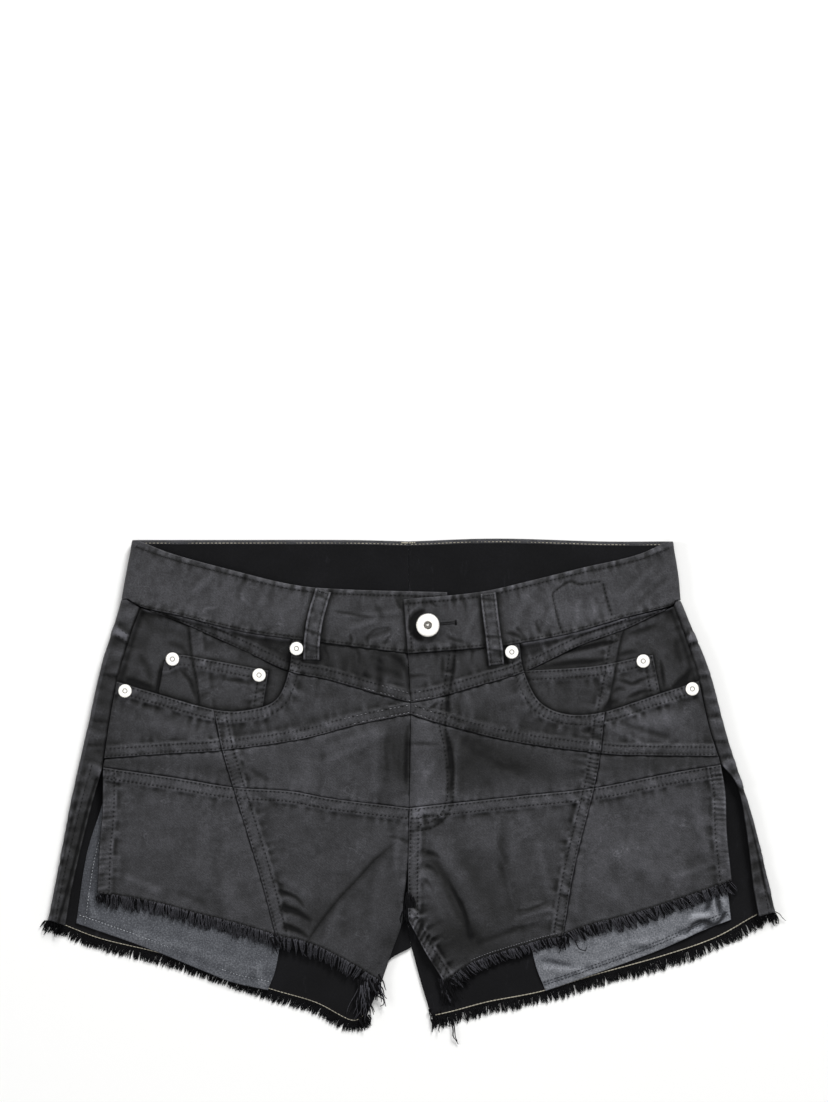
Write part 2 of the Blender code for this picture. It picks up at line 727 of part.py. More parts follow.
def belt_loop(side):
    """A strip from the waistband's top edge over its lower seam onto the yoke."""
    line, waist = seam("loop_line", side), seam("waist_seam", side)
    rows = []
    for t in np.linspace(0.0, 1.0, 9):
        x, y = line(t)
        below = waist(waist.nearest((x, y)))[1]
        over_band = smooth_step((y - below + 6.0) / 4.0)
        level = loft(x, y) + 0.3 + LOOP + over_band * BAND_PROUD + 0.5 * math.sin(math.pi * t)
        rows.append([(x + OUTWARD[side] * LOOP_WIDTH * across, y, level)
                     for across in (0.5, 0.0, -0.5)])
    cloth(f"loop_{side}", np.array(rows), LOOP, COATED, face_up=side == "L")


def turned(name, profile, x, y, z, segments):
    """A turned metal piece: its profile runs from the crown's middle outwards and back under."""
    mesh = bpy.data.meshes.new(name)
    points = [(radius * MM, 0.0, height * MM) for radius, height in profile]
    mesh.from_pydata(points, [(i, i + 1) for i in range(len(points) - 1)], [])
    piece = placed(name, mesh, finish(name, NICKEL, metallic=1.0, roughness=0.25))
    piece.location = ((x + CENTRE_X) * MM, (y + CENTRE_Y) * MM, z * MM)
    screw = piece.modifiers.new("turned", "SCREW")
    screw.angle = math.tau
    screw.steps = segments
    screw.render_steps = segments
    screw.use_merge_vertices = True
    screw.merge_threshold = 0.00001
    return piece


def hardware():
    r, h = RIVET_RADIUS, RIVET_HEIGHT
    cap = ((0.0, h), (0.16 * r, h), (0.24 * r, 0.72 * h), (0.42 * r, 0.86 * h), (0.78 * r, 0.66 * h),
           (r, 0.2 * h), (r, 0.0), (0.0, 0.0))
    for rivet in RIVETS:
        surface = front_height(rivet.x, rivet.y)
        if rivet.on == "front":
            base = surface + max(FELL_RISE, BAND_PROUD) + SEAM_GAP
        else:
            base = surface - COIN_DEPTH + SEAM_GAP
        turned(rivet.name, cap, rivet.x, rivet.y, float(base), 14)
    r, h = BUTTON_RADIUS, BUTTON_HEIGHT
    disc = ((0.0, 0.55 * h), (0.24 * r, 0.55 * h), (0.30 * r, 0.86 * h), (0.62 * r, 0.98 * h),
            (0.88 * r, 0.92 * h), (r, 0.66 * h), (0.97 * r, 0.44 * h), (0.45 * r, 0.36 * h),
            (0.45 * r, 0.0), (0.0, 0.0))
    x, y = BUTTON_AT
    turned("button", disc, x, y, float(band_height(np.array(x), y, "L")) + SEAM_GAP, 24)


def frayed(name, edge, level, under, length, tip_level, seed):
    """A strip parted from a hem's edge, with threads standing out of its lower side.

    edge runs along the hem, level and under give the strip's upper and lower heights at a point,
    and tip_level the height of a thread's tip from that of its root.
    """
    draw = random.Random(seed)
    count = max(3, round(edge.length / THREAD_PITCH))
    root = THREAD_ROOT / edge.length
    cuts = [0.0]
    for k in range(count):
        middle = (k + 0.5) / count
        cuts += [middle - root / 2, middle + root / 2]
    cuts.append(1.0)
    strip = bmesh.new()
    rings, outs = [], []
    for u in cuts:
        here, ahead = edge(min(u, 0.995)), edge(min(u, 0.995) + 0.005)
        run = (ahead - here) / np.linalg.norm(ahead - here)
        out = np.array([run[1], -run[0]])
        if out[1] > 0:
            out = -out
        outs.append(Vector((*out, 0.0)))
        here = edge(u)
        near, far = here + out * SEAM_GAP, here + out * (SEAM_GAP + STRIP_WIDTH)
        high, low = level(*here), under(*here)
        ring = [(*near, low), (*near, high), (*far, high), (*far, low)]
        rings.append([strip.verts.new(Vector((x + CENTRE_X, y + CENTRE_Y, z)) * MM)
                      for x, y, z in ring])
    for a, b in zip(rings, rings[1:]):
        for k in range(4):
            strip.faces.new((a[k], a[(k + 1) % 4], b[(k + 1) % 4], b[k]))
    strip.faces.new(rings[0][::-1])
    strip.faces.new(rings[-1])
    bmesh.ops.recalc_face_normals(strip, faces=strip.faces)
    strip.faces.ensure_lookup_table()
    roots = [(strip.faces[4 * (2 * k + 1) + 2], outs[2 * k + 1]) for k in range(count)]
    for face, out in roots:
        grown = bmesh.ops.extrude_discrete_faces(strip, faces=[face])["faces"][0]
        lean = Vector((draw.uniform(-0.35, 0.35), draw.uniform(-0.2, 0.1), 0.0))
        reach = length * draw.uniform(0.75, 1.1)
        middle = grown.calc_center_median()
        tip = middle + (out + lean) * reach * MM
        tip.z = tip_level(middle.z / MM) * MM
        for vert in grown.verts:
            vert.co = tip + (vert.co - middle) * 0.45
    bmesh.ops.recalc_face_normals(strip, faces=strip.faces)
    mesh = bpy.data.meshes.new(name)
    strip.to_mesh(mesh)
    strip.free()
    placed(name, mesh, finish(name, RAW_THREAD, roughness=0.95))


def frayed_hems(side):
    frayed(f"fray_back_{side}", back_hem_line(side), lambda x, y: CLOTH, lambda x, y: 0.0,
           BACK_THREAD, lambda root: 0.5 * CLOTH, seed=11 + SIDES[side])
    for place, name in (("out", "front_hem_outer"), ("in", "front_hem_inner")):
        hem = seam(name, side)
        hem = hem.part(hem(0.01), hem(0.985), 60)
        frayed(f"fray_{place}_{side}", hem, front_height, lambda x, y: front_height(x, y) - CLOTH,
               FRONT_THREAD, lambda root: root - 0.4, seed=31 + SIDES[side])


def clear_scene():
    for old in list(bpy.data.objects):
        bpy.data.objects.remove(old, do_unlink=True)
    bpy.context.scene.collection.children.link(bpy.data.collections.new("denim_shorts"))


def main():
    clear_scene()
    for side in SIDES:
        back_panel(side)
        waistband(side)
        facings(side)
        coin_pocket(side)
        pocket_bag(side)
        front_panels(side)
        belt_loop(side)
        frayed_hems(side)
    hardware()


main()
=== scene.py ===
import math
from collections import namedtuple

import bpy
import numpy as np
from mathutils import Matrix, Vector


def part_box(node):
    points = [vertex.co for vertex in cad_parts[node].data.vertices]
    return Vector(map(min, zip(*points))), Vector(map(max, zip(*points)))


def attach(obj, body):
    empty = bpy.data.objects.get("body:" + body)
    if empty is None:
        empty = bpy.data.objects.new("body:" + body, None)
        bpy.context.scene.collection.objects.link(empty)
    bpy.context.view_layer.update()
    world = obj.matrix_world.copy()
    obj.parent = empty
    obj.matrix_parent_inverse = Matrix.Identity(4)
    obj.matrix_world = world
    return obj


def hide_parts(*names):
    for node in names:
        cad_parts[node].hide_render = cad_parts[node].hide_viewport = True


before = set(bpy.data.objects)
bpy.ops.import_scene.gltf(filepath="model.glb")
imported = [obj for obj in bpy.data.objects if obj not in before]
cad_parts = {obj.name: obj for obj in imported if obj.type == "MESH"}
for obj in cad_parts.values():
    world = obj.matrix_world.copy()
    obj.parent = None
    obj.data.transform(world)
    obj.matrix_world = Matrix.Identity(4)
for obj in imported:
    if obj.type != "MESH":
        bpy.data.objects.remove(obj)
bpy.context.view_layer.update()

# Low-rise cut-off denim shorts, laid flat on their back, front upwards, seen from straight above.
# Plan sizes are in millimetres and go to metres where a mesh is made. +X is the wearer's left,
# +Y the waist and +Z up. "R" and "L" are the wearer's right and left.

MM = 0.001

# Cloth and its seams.
CLOTH = 1.2
WAISTBAND = 2.0
FACING = 1.0
BAG = 0.8
LOOP = 1.2
LOOP_WIDTH = 11.5
SEAM_GAP = 0.08          # left open between two panels, so that a seam reads as a thin line
GRID = 0.92              # between the points of a panel that shows
BAG_STEP = 1.45
LOOP_STEP = 0.8
BAND_BACK_STEP = 2.6     # between points of the waistband behind
BACK_STEP = 3.1          # between points of the back, and between its rows
BACK_ROW_STEP = 1.55
PANEL_ENDS = (0.0, 0.25, 0.6, 1.1)     # points beside a panel's edge are closer
WRAPPED_ENDS = (0.0, 0.3, 0.7, 1.2)
BAND_TURN = 15           # columns of points round the folded side
BACK_TURN = 11
BACK_STRIP_WIDTH = 16.0
PANEL_EDGE = (0.5, 0.3)  # how far in from its edge cloth rounds down, and by how much
WRAPPED_EDGE = (0.9, 0.42)
LOOP_EDGE = (1.1, 0.7)
FELL_RISE = 0.55
FELL_WIDTH = 8.0
PRINCESS_WIDTH = {"R": 9.5, "L": 8.5}
PRINCESS_ROPE = {"R": 1.0, "L": 1.9}
MOUTH_WIDTH = 8.0
VENT_HEM_WIDTH = 9.5
STITCH_PITCH = 2.9
STITCH_LENGTH = 1.85
THREAD_RADIUS = 0.30
CHAIN_RADIUS = {"R": 0.24, "L": 0.36}
BAND_ROWS = (3.3, 1.9)   # below the waistband's top edge, and above its lower one
INSIDE_ROW = 2.2         # the pale row inside the waistband
VENT_ROW = 7.6
LOOP_ROW = 1.9
RIDGE_WEAR_AND_SHADE = 4.6         # how much paler a ridge of one millimetre is, from worn coating and painted light, and how much darker a fine hollow is, as painted shade
HOLLOW_SHADE = 0.9       # the same for wide folds: painted light on their ridges and painted shade in their troughs

# Heights of the front's outer surface, as the solids have them.
WAIST_LOFT = 7.2
HEM_LOFT = 4.6
LOFT_TOP_Y = 110.0
LOFT_BOTTOM_Y = -110.0
INSEAM_LOFT = 3.6
BAND_PROUD = 0.8
LAP_RISE = 1.3
LAP_SINK = 1.0
LAP_START_X = 30.0
LAP_END_X = 48.0
FACING_DEPTH = (1.7, 2.9)
FACING_SLOPE = 14.0
COIN_DEPTH = 1.55
BAG_LEVEL = 1.5
UNDERLAP = 10.0
MOUTH_TURN = 0.80

# The garment's middle, from the point that its plan was measured from.
CENTRE_X = -0.553
CENTRE_Y = 0.836

# The photograph's frame: 828 by 1102 pixels of 0.7 mm, and where its middle falls on the plan.
FRAME_HEIGHT = 1102 * 0.7 * MM
FRAME_MIDDLE = (2.247 * MM, 164.636 * MM)
LENS = 150.0
SENSOR = 36.0
MID_HEIGHT = 5.0 * MM    # the level on the garment at which the frame's scale holds

# Seams, from the side towards the centre or from the top down.
# A row is one station: x and y on the wearer's right, then x and y on the wearer's left.
SEAMS = {
    "back_waist_edge": (
        (-194.5, 171.5, 184, 170.5), (-131, 171.5, 136, 170.5), (-45, 171.5, 61.5, 172.5),
        (-1, 170.5, -1, 170.5)),
    "front_waist_edge": (
        (-194.5, 171.5, 184, 170.5), (-168.5, 162, 158.5, 160.5), (-131, 152, 120.5, 152),
        (-83, 140.5, 84, 143), (-45, 137, 47.5, 135), (26, 135, -4.5, 130)),
    "waist_seam": (
        (-202, 130, 189.5, 129), (-188.5, 124, 184.5, 125), (-161, 118, 151, 117), (-115.5, 107, 112, 106),
        (-73, 101, 75, 99), (-45, 97.5, 51.5, 96), (-1.5, 92, -1.5, 92)),
    "band_side": (
        (-194.5, 171.5, 184, 170.5), (-199, 146.5, 188, 146.5), (-202, 130, 189.5, 129)),
    "outline": (
        (-202, 130, 189.5, 129), (-206, 115.5, 196, 113.5), (-216.5, 82.5, 210, 79),
        (-225, 44, 221.5, 36.5), (-238, -13.5, 241, -26.5), (-248.5, -69.5, 252, -72),
        (-253.5, -95, 256, -89.5)),
    "side_seam": (
        (-188.5, 124, 184.5, 125), (-195, 107, 191.5, 107), (-202, 83.5, 199, 84.5),
        (-205.5, 70.5, 202.5, 71), (-210.5, 43.5, 209.5, 40), (-215, 12.5, 217.5, 14.5)),
    "back_vent": (
        (-215, 12.5, 217.5, 14.5), (-221.5, -10, 229, -0.5), (-228.5, -38, 235, -29.5),
        (-236.5, -73, 240, -69.5), (-241, -98.5, 244, -92)),
    "yoke_seam": (
        (-180, 121, 178, 122), (-155, 111.5, 149.5, 108.5), (-115.5, 93.5, 120.5, 98), (-85, 79.5, 80, 79),
        (-57, 73.5, 48.5, 69.5), (-24, 64, 21, 61.5), (0.5, 57.5, 0.5, 57.5)),
    "hip_seam": (
        (-213.5, 18.5, 216, 20), (-163.5, 22, 163, 20.5), (-131.5, 24, 133.5, 22),
        (-77.5, 31.5, 70.5, 30.5), (-37, 42, 19, 43.5), (0.5, 49.5, 0.5, 49.5)),
    "leg_seam": (
        (-215, 12.5, 217.5, 14.5), (-163.5, 5, 180, 8), (-124, -1.5, 129, -2), (-84.5, -4, 82.5, -7),
        (-54, -9.5, 27, -13), (-0.5, -16, -0.5, -16)),
    "princess": (
        (-137.5, 53, 136.5, 51.5), (-131.5, 24, 133.5, 22), (-124, -1.5, 129, -2),
        (-106, -60.5, 115.5, -57), (-94, -105.5, 107.5, -105)),
    "pocket_mouth": (
        (-205.5, 72.5, 202.5, 73), (-177, 64, 171.5, 63), (-137.5, 53, 136.5, 51.5),
        (-114.5, 52.5, 111, 49.5), (-94, 59.5, 91, 58), (-85, 79.5, 80, 79), (-82, 102.5, 76.5, 99.5)),
    "centre_front": (
        (-1.5, 92, -1.5, 92), (0.5, 57.5, 0.5, 57.5), (0.5, 49.5, 0.5, 49.5), (-0.5, -16, -0.5, -16),
        (-1.5, -54.5, -1.5, -54.5), (-4.5, -82.5, -1.5, -94.5)),
    "front_inseam": (
        (-4.5, -82.5, -1.5, -94.5), (-5.5, -97, 4, -105), (-13, -118, 11, -118), (-20, -138.5, 24, -138.5)),
    "front_vent": (
        (-215, 12.5, 217.5, 14.5), (-215.5, -19.5, 221, -6), (-217.5, -41.5, 222, -34),
        (-219, -75.5, 225.5, -67)),
    "front_hem_outer": (
        (-219, -75.5, 225.5, -67), (-180.5, -82, 202, -75.5), (-154.5, -89, 158, -90),
        (-124.5, -96.5, 127, -98), (-94, -105.5, 107.5, -105)),
    "front_hem_inner": (
        (-94, -105.5, 107.5, -105), (-71, -111, 83.5, -111.5), (-44.5, -123.5, 45.5, -124),
        (-20, -138.5, 24, -138.5)),
    "back_hem": (
        (-253.5, -95, 256, -89.5), (-243, -99, 244.5, -91.5), (-216.5, -109, 214.5, -108),
        (-173, -119.5, 177, -121), (-136.5, -131, 127, -135), (-98.5, -144, 91.5, -146),
        (-66.5, -153.5, 55.5, -153), (-41.5, -166, 31, -159.5), (-30, -161.5, 15.5, -163)),
    "back_inseam": (
        (1, -114, 1, -114), (-15, -123.5, 7.5, -138), (-21, -140, 13, -156), (-30, -161.5, 15.5, -163)),
    "bag_outer": (
        (-205, 52, 201, 52), (-213.5, -5, 213, -5), (-226.5, -48, 220, -52.5), (-234, -97, 225, -94.5)),
    "bag_hem": (
        (-234, -97, 225, -94.5), (-185.5, -114, 204.5, -102.5), (-143.5, -131, 174.5, -116),
        (-124.5, -138.5, 127, -133.5), (-99.5, -144, 95, -144.5)),
    "bag_inner": (
        (-84, 42, 80, 38), (-85, -52.5, 78.5, -66.5), (-92.5, -121, 86.5, -120.5),
        (-99.5, -144, 95, -144.5)),
    "coin_top": (
        (-172, 86.5, 170, 91), (-161.5, 91, 158.5, 89), (-150, 89.5, 127, 83), (-99, 80, 78.5, 79.9)),
    "coin_bottom": (
        (-177, 60, 176, 60), (-158, 53.8, 140, 46.5), (-128, 49, 112, 44.5), (-103.5, 50.5, 86, 53)),
    "loop_line": (
        (-60.5, 136.5, 54.5, 134.5), (-66, 117.5, 56.5, 117.5), (-68.5, 101.5, 59, 98),
        (-69, 87.5, 60.5, 84)),
}
CENTRE_BACK_X = -1.0
BACK_WAIST_Y = 128.5
CROTCH_Y = -114.0
# Where the yoke seam meets the pocket mouth, and where the princess seam meets the other seams.
CROSSINGS = {
    ("yoke", "R"): (-85.0, 79.5), ("yoke", "L"): (80.0, 79.0),
    ("mouth", "R"): (-137.5, 53.0), ("mouth", "L"): (136.5, 51.5),
    ("hip", "R"): (-131.5, 24.0), ("hip", "L"): (133.5, 22.0),
    ("leg", "R"): (-124.0, -1.5), ("leg", "L"): (129.0, -2.0),
}

# Folds in the laid cloth: a soft ridge or, where rise is negative, a trough along a straight run.
Fold = namedtuple("Fold", "start_x start_y end_x end_y rise reach")
FOLDS = [Fold(*row) for row in (
    # The right leg, under the crotch.
    (-2, -78, -30, -110, 0.9, 12),
    # Beside the fly.
    (-9, 44, -10, -12, 0.4, 6), (-16, 88, -14, 68, 0.9, 5), (-52, 22, -20, 38, 0.8, 6),
    # The left leg and hip.
    (62, -24, 66, -60, -0.4, 5), (66, -60, 74, -86, -0.4, 5), (15, -50, 42, -104, -0.8, 6),
    (26, -52, 52, -100, 0.7, 8), (77, -92, 97, -86, 0.9, 4.5), (40, 30, 72, 12, -0.7, 6),
    # The flaps over the pocket bags, and under the pocket mouths.
    (-150, -60, -120, -84, 0.7, 9), (150, -50, 186, -66, 0.7, 9), (-176, 42, -150, 34, 0.7, 7),
    (150, 42, 178, 46, 0.7, 7),
)]

# Finer creases in the laid cloth, placed one by one.
CREASES = [Fold(*row) for row in (
    # On the panels.
    (-52, 88, -49, 72, 0.35, 2.6), (-30, 90, -26, 74, 0.4, 3), (-21, 86, -22, 66, -0.45, 2.4),
    (30, 90, 35, 70, 0.35, 3), (34, 62, 33, 38, -0.45, 2.6), (41, 60, 44, 44, 0.3, 3),
    (-1, 40, -3, 4, -0.4, 2.2), (-15, 40, -17, 2, -0.2, 2.4), (-24, 34, -25, -2, 0.35, 3.4),
    (33, 30, 31, -6, 0.45, 2.6), (28, 28, 27, -4, -0.5, 2.2), (-60, 20, -36, 30, -0.35, 3),
    (48, 26, 66, 16, 0.35, 2.6), (-196, 58, -182, 50, 0.3, 3), (-120, 22, -112, 8, 0.3, 2.4),
    (-117, 14, -101, 4, -0.35, 2.2), (-111, -2, -92, -16, -0.3, 2.6), (146, 44, 178, 34, -0.45, 2.4),
    (144, 38, 160, 30, 0.35, 2.4), (-205, -20, -206, -62, 0.3, 3.4), (-196, -66, -178, -73, 0.4, 3.2),
    (-160, -76, -146, -82, -0.3, 3), (-88, -66, -70, -78, 0.25, 3), (-50, -86, -58, -108, 0.35, 3.4),
    (-20, -60, -26, -96, 0.35, 4), (-8, -30, -10, -58, 0.35, 2.6), (17, -62, 33, -98, 0.3, 3),
    (36, -84, 42, -106, -0.45, 2.4), (62, -22, 61, -40, 0.3, 2.4), (68, -58, 74, -84, 0.35, 2.6),
    (50, -110, 78, -100, -0.45, 2.4), (74, -91, 96, -84, -0.45, 2.2), (76, -100, 98, -93, 0.35, 2.4),
    (90, -44, 96, -70, 0.3, 3.4), (118, -60, 116, -88, 0.35, 3), (200, -20, 210, -52, 0.3, 3.4),
    (186, -64, 205, -58, 0.35, 3),
    # On the waistband.
    (-150, 136, -139, 146, 0.35, 3), (-120, 132, -117, 145, -0.3, 2.6), (-104, 128, -99, 140, 0.35, 3),
    (-40, 110, -26, 114, 0.4, 2.6), (-30, 103, -16, 108, -0.45, 2.2), (-44, 118, -8, 121, 0.25, 2),
    (4, 100, 26, 97, 0.4, 2.4), (38, 103, 46, 122, 0.3, 2.6), (74, 112, 80, 132, 0.3, 3),
    (90, 108, 96, 124, -0.3, 2.6), (150, 132, 168, 150, 0.35, 3.2), (160, 128, 176, 142, -0.3, 2.8),
)]
# Sharp folds: the cloth on the line's right rolls over and drops to the cloth on its left. Painted shade
# darkens it where it rolls under.
Ledge = namedtuple("Ledge", "points rise roll reach shade")
LEDGES = [Ledge(*row) for row in (
    (((-3, -37), (-9, -40.2), (-16.1, -45.5), (-25.9, -53.9), (-37.1, -66.5), (-49.7, -79.8),
       (-62.3, -95.9), (-71, -108.6)), 0.8, 3.6, 18, 1.05),
    (((15, -50), (22, -62), (32, -78), (40, -94), (45, -106)), 0.5, 2.5, 8, 0.5),
    (((62, -22), (61.3, -39), (66.2, -51.8), (70.7, -68), (74, -84)), 0.4, 1.3, 8, 0.5),
    (((98, -84.5), (88, -88), (77, -91)), 0.7, 3, 5, 0.4),
    (((97, -93), (84, -98), (72, -100)), 0.6, 3, 5, 0.4),
    (((-16, 42), (-17.5, 24), (-15, 4)), 0.25, 2, 7, 0.2),
    (((-26, 91), (-16, 82), (-4, 74)), 0.6, 3, 6, 0.5),
)]
# Dents in the cloth along a short line, with painted shade in them; a negative shade is a painted highlight.
# Where taper is set, a dent starts full and thins out.
Dent = namedtuple("Dent", "points depth reach shade taper", defaults=(False,))
DENTS = [Dent(*row) for row in (
    # On the right leg, beside the princess seam.
    (((-88, -86), (-78.4, -89.3), (-68.6, -95.6)), 0.7, 2.6, 3, True),
    (((-86.5, -99.2), (-78, -102), (-71, -106.7)), 0.7, 2.3, 2.8, True),
    (((-90.6, -74.6), (-80, -78.7), (-73.6, -86)), 0.5, 1.6, 2, True),
    (((-94.5, -67), (-91, -69.5), (-88.6, -72.5)), 0.3, 1.1, 0.9, True),
    # On the fly and beside it.
    (((-25.7, 94), (-12, 90.6), (-5, 85), (-2, 77)), 0.5, 2.6, 1.2),
    (((-24, 82), (-14, 79), (-5, 73)), 0.4, 2.4, 0.6), (((-1.8, 42), (-2.4, 20), (-2.4, -6)), 0.3, 2, 1.1),
    (((-1.6, 84), (-1.4, 74), (-0.8, 66)), 0.3, 1.6, 1.2),
    (((-6, 28.5), (8, 29.2), (22, 28)), 0.3, 1, 0.6),
    (((0.8, 76), (7, 76.8), (13.5, 76.4)), 0.4, 1.2, 0.9, True),
    (((22.6, 90), (22.9, 84), (22.6, 74)), 0.4, 1.4, 0.9),
    (((30.4, 92), (30.8, 84), (29.4, 72)), 0.4, 1.3, 1),
    (((23.6, 80), (27, 79.4), (31, 79.6)), 0.4, 1.2, 1),
    (((24.4, 68), (26.4, 58), (27.4, 48)), 0.4, 1.5, 1.2),
    (((24.2, 40), (26, 31), (28.6, 20), (29.6, 8), (28.4, -10)), 0.5, 1.5, 1.7),
    (((30, 47.5), (38, 43.5), (50, 41)), 0.3, 1.4, 0.7, True),
    (((12.6, 53), (17, 55.6), (20, 58.5)), 0.3, 1.1, 0.9),
    # On the legs.
    (((26, -65), (38.5, -90.3), (40.5, -103.6)), 0.4, 1.1, 1.2),
    (((8, -58), (16, -76), (26, -97)), -0.2, 4.2, -0.3),
    (((18.4, 18), (12, 8), (7.4, 1)), -0.2, 2.8, -0.28),
    (((12.5, -47.5), (17, -48.5), (22, -52)), 0.6, 1.4, 0.7, True),
    (((12, -57), (16, -59), (20, -64)), 0.6, 1.4, 0.7, True),
    (((11, -67), (14, -70), (17, -76)), 0.5, 1.2, 0.6, True),
    (((10.5, -22), (16, -21), (22, -22)), 0.4, 1.2, 0.4, True),
    (((-2, -40), (-9, -37), (-17, -36)), 0.5, 1.4, 0.4, True),
    (((110, -78), (105, -77), (101, -77.5)), 0.4, 1.3, 0.4, True),
    (((112, -64), (108, -63), (104, -62.5)), 0.4, 1.2, 0.4, True),
    (((74, -88), (84, -87), (96, -82)), 0.5, 1.3, 0.6),
    # Under the waistband.
    (((-60, 96), (-57.5, 91), (-57, 86)), 0.4, 1.2, 0.5, True),
    (((-37, 95), (-35.5, 90), (-36, 84)), 0.5, 1.3, 0.5, True),
    (((44, 94), (43, 89), (43.5, 84)), 0.4, 1.2, 0.4, True),
    (((68, 97), (66, 92), (66, 88)), 0.4, 1.2, 0.4, True),
    # On the right of the fly.
    (((-44, 78), (-30, 76), (-16, 70)), 0.3, 2.5, 0.5), (((-12, 42), (-9, 26), (-9, 2)), 0.2, 6.5, 0.26),
    (((-5, 44), (-4, 20), (-5, -8)), 0.2, 4.5, 0.34),
    (((-11, 38), (-11.6, 24), (-10.4, 12)), 0.2, 1.6, 0.12),
    (((-7, 30), (-7.6, 14), (-6.6, -4)), 0.2, 1.6, 0.12),
    # In the right pocket mouth.
    (((-200, 75), (-190, 71), (-178, 67.5)), 0.5, 2.4, 1.7),
    (((-174.2, 85), (-175.6, 74), (-177.6, 63)), 0.3, 1.3, 2),
    (((-176, 121), (-165, 116.6), (-155.5, 110)), 0.4, 1, 1.1),
    (((-161, 80.5), (-154, 73), (-149.6, 60)), 0.5, 1.4, 1),
    (((-170, 100), (-160, 96), (-156, 90)), 0.4, 2.2, 0.5),
    (((-190, 92), (-184, 82), (-182, 72)), 0.4, 2.6, 0.4),
    (((-132, 74), (-120, 73), (-108, 69.5)), 0.4, 1.2, 0.7),
    (((-104, 66), (-110, 64.5), (-116, 63)), 0.4, 1.2, 0.5, True),
    (((-105.5, 60), (-110, 58.5), (-114, 58)), 0.4, 1.1, 0.5, True),
    # In the left pocket mouth.
    (((90, 82.2), (112, 85.4), (128, 86.6), (144, 88.6)), 0.3, 2, 2.2),
    (((145, 90.6), (152, 92.6), (160, 93.6)), 0.3, 1.6, 1.2),
    (((106, 91.6), (118, 95.2), (132, 98.2), (146, 101)), 0.5, 1.5, 2.4),
    (((175.4, 88), (176.8, 78), (178.2, 67)), 0.3, 1.3, 1.8),
    (((183, 68), (189, 71.5), (193.5, 76), (196, 82)), 0.6, 2.6, 2),
    (((137.5, 54), (140, 57.5), (146, 58.8)), 0.4, 2.2, 2.2, True),
    (((186, 104), (187, 94), (190, 84)), 0.4, 2.6, 0.5),
    (((152, 106), (162, 108), (174, 113)), 0.4, 1.6, 0.6),
    (((143.5, 74.5), (151, 72.2), (156, 70.8), (163, 74), (171, 76)), 0.6, 1.2, 1.1),
    (((150, 60), (156, 62.5), (163, 65.4), (172, 66)), 0.6, 1.4, 1),
    (((141.5, 64), (146, 67.5), (152, 66.5)), 0.4, 1.1, 0.6),
    (((100, 73.5), (112, 74.6), (126, 75.4)), 0.3, 1, 0.5),
    (((131.5, 70), (135, 70.8), (138, 70.4)), 0.3, 0.7, 0.7),
    (((130.5, 66.6), (134, 67.2), (137, 66.8)), 0.3, 0.7, 0.7),
    (((129.5, 63), (133, 63.6), (136.4, 63.2)), 0.3, 0.7, 0.7),
)]
# On the waistband: painted shade in the hollow round the button and a painted highlight on the ridge round
# it, wrinkles with painted shade, pale lines, and the marks of a patch sewn on behind.
BAND_DENTS = [Dent(*row) for row in (
    (((10.6, 122.6), (5.1, 119.6), (2.2, 114.6), (2.2, 109.2), (5.1, 104.2), (10, 101.4)), 0.8, 2.5, 3.1),
    (((6, 125.5), (0.2, 121), (-1.9, 114.5), (-1.6, 107), (2, 100.6)), -0.3, 1, -0.5),
    (((-55.3, 122.3), (-40, 119.5), (-24.5, 116.7)), 0.3, 0.9, 0.7),
    (((-31.5, 101.4), (-24.5, 108.6), (-12.8, 110.6)), 0.3, 0.8, 0.4),
    (((-17.5, 99.4), (-14.5, 104), (-12.6, 107.8)), 0.4, 1, 0.5, True),
    (((-10.2, 131.6), (-8, 126.5), (-5.2, 122.2)), 0.4, 1.3, 0.7),
    (((-25, 127), (-21, 121), (-19, 116)), 0.3, 2.4, 0.5),
    (((-42, 106), (-41, 102), (-40.6, 98.4)), 0.4, 0.8, 0.8),
    (((-30, 104), (-29.6, 100), (-28.6, 97)), 0.4, 0.8, 0.7),
    (((66, 106.5), (73, 105.5), (80, 101.5)), 0.4, 1.2, 0.9),
    (((75, 109.8), (79, 105), (81, 101)), 0.4, 0.9, 0.7, True),
    (((88.9, 116.9), (88.5, 112.3), (92.3, 104.7)), 0.3, 0.8, 0.7),
    (((36, 131), (38.6, 126), (39, 119)), 0.4, 1, 0.5, True),
    (((14, 129), (17, 126), (22, 124.6)), 0.4, 0.9, 0.5, True),
    (((24, 106), (30, 102), (38, 100.4)), 0.4, 1, 0.7),
    (((99.6, 134.3), (100.8, 127.4), (104.2, 113.5), (107.1, 105.4)), 0.15, 0.65, 0.35),
    (((134.6, 142.6), (137.9, 127.3), (141.4, 118)), 0.15, 0.65, 0.45),
    (((99.2, 133.7), (105, 138.5), (112, 142.5), (119, 140.4), (124.6, 142),
       (134, 142.5)), 0.2, 0.65, 0.45), (((118, 130), (116.6, 121), (117.6, 112)), -0.2, 2.2, -0.2),
    (((126, 133), (129, 124), (128.6, 115)), -0.2, 1.8, -0.2),
    (((-146, 119), (-143, 123.6), (-137, 124), (-133, 127)), -0.2, 0.8, -0.3),
    (((-118, 139), (-117, 131), (-110, 124)), -0.2, 1.4, -0.2),
)]
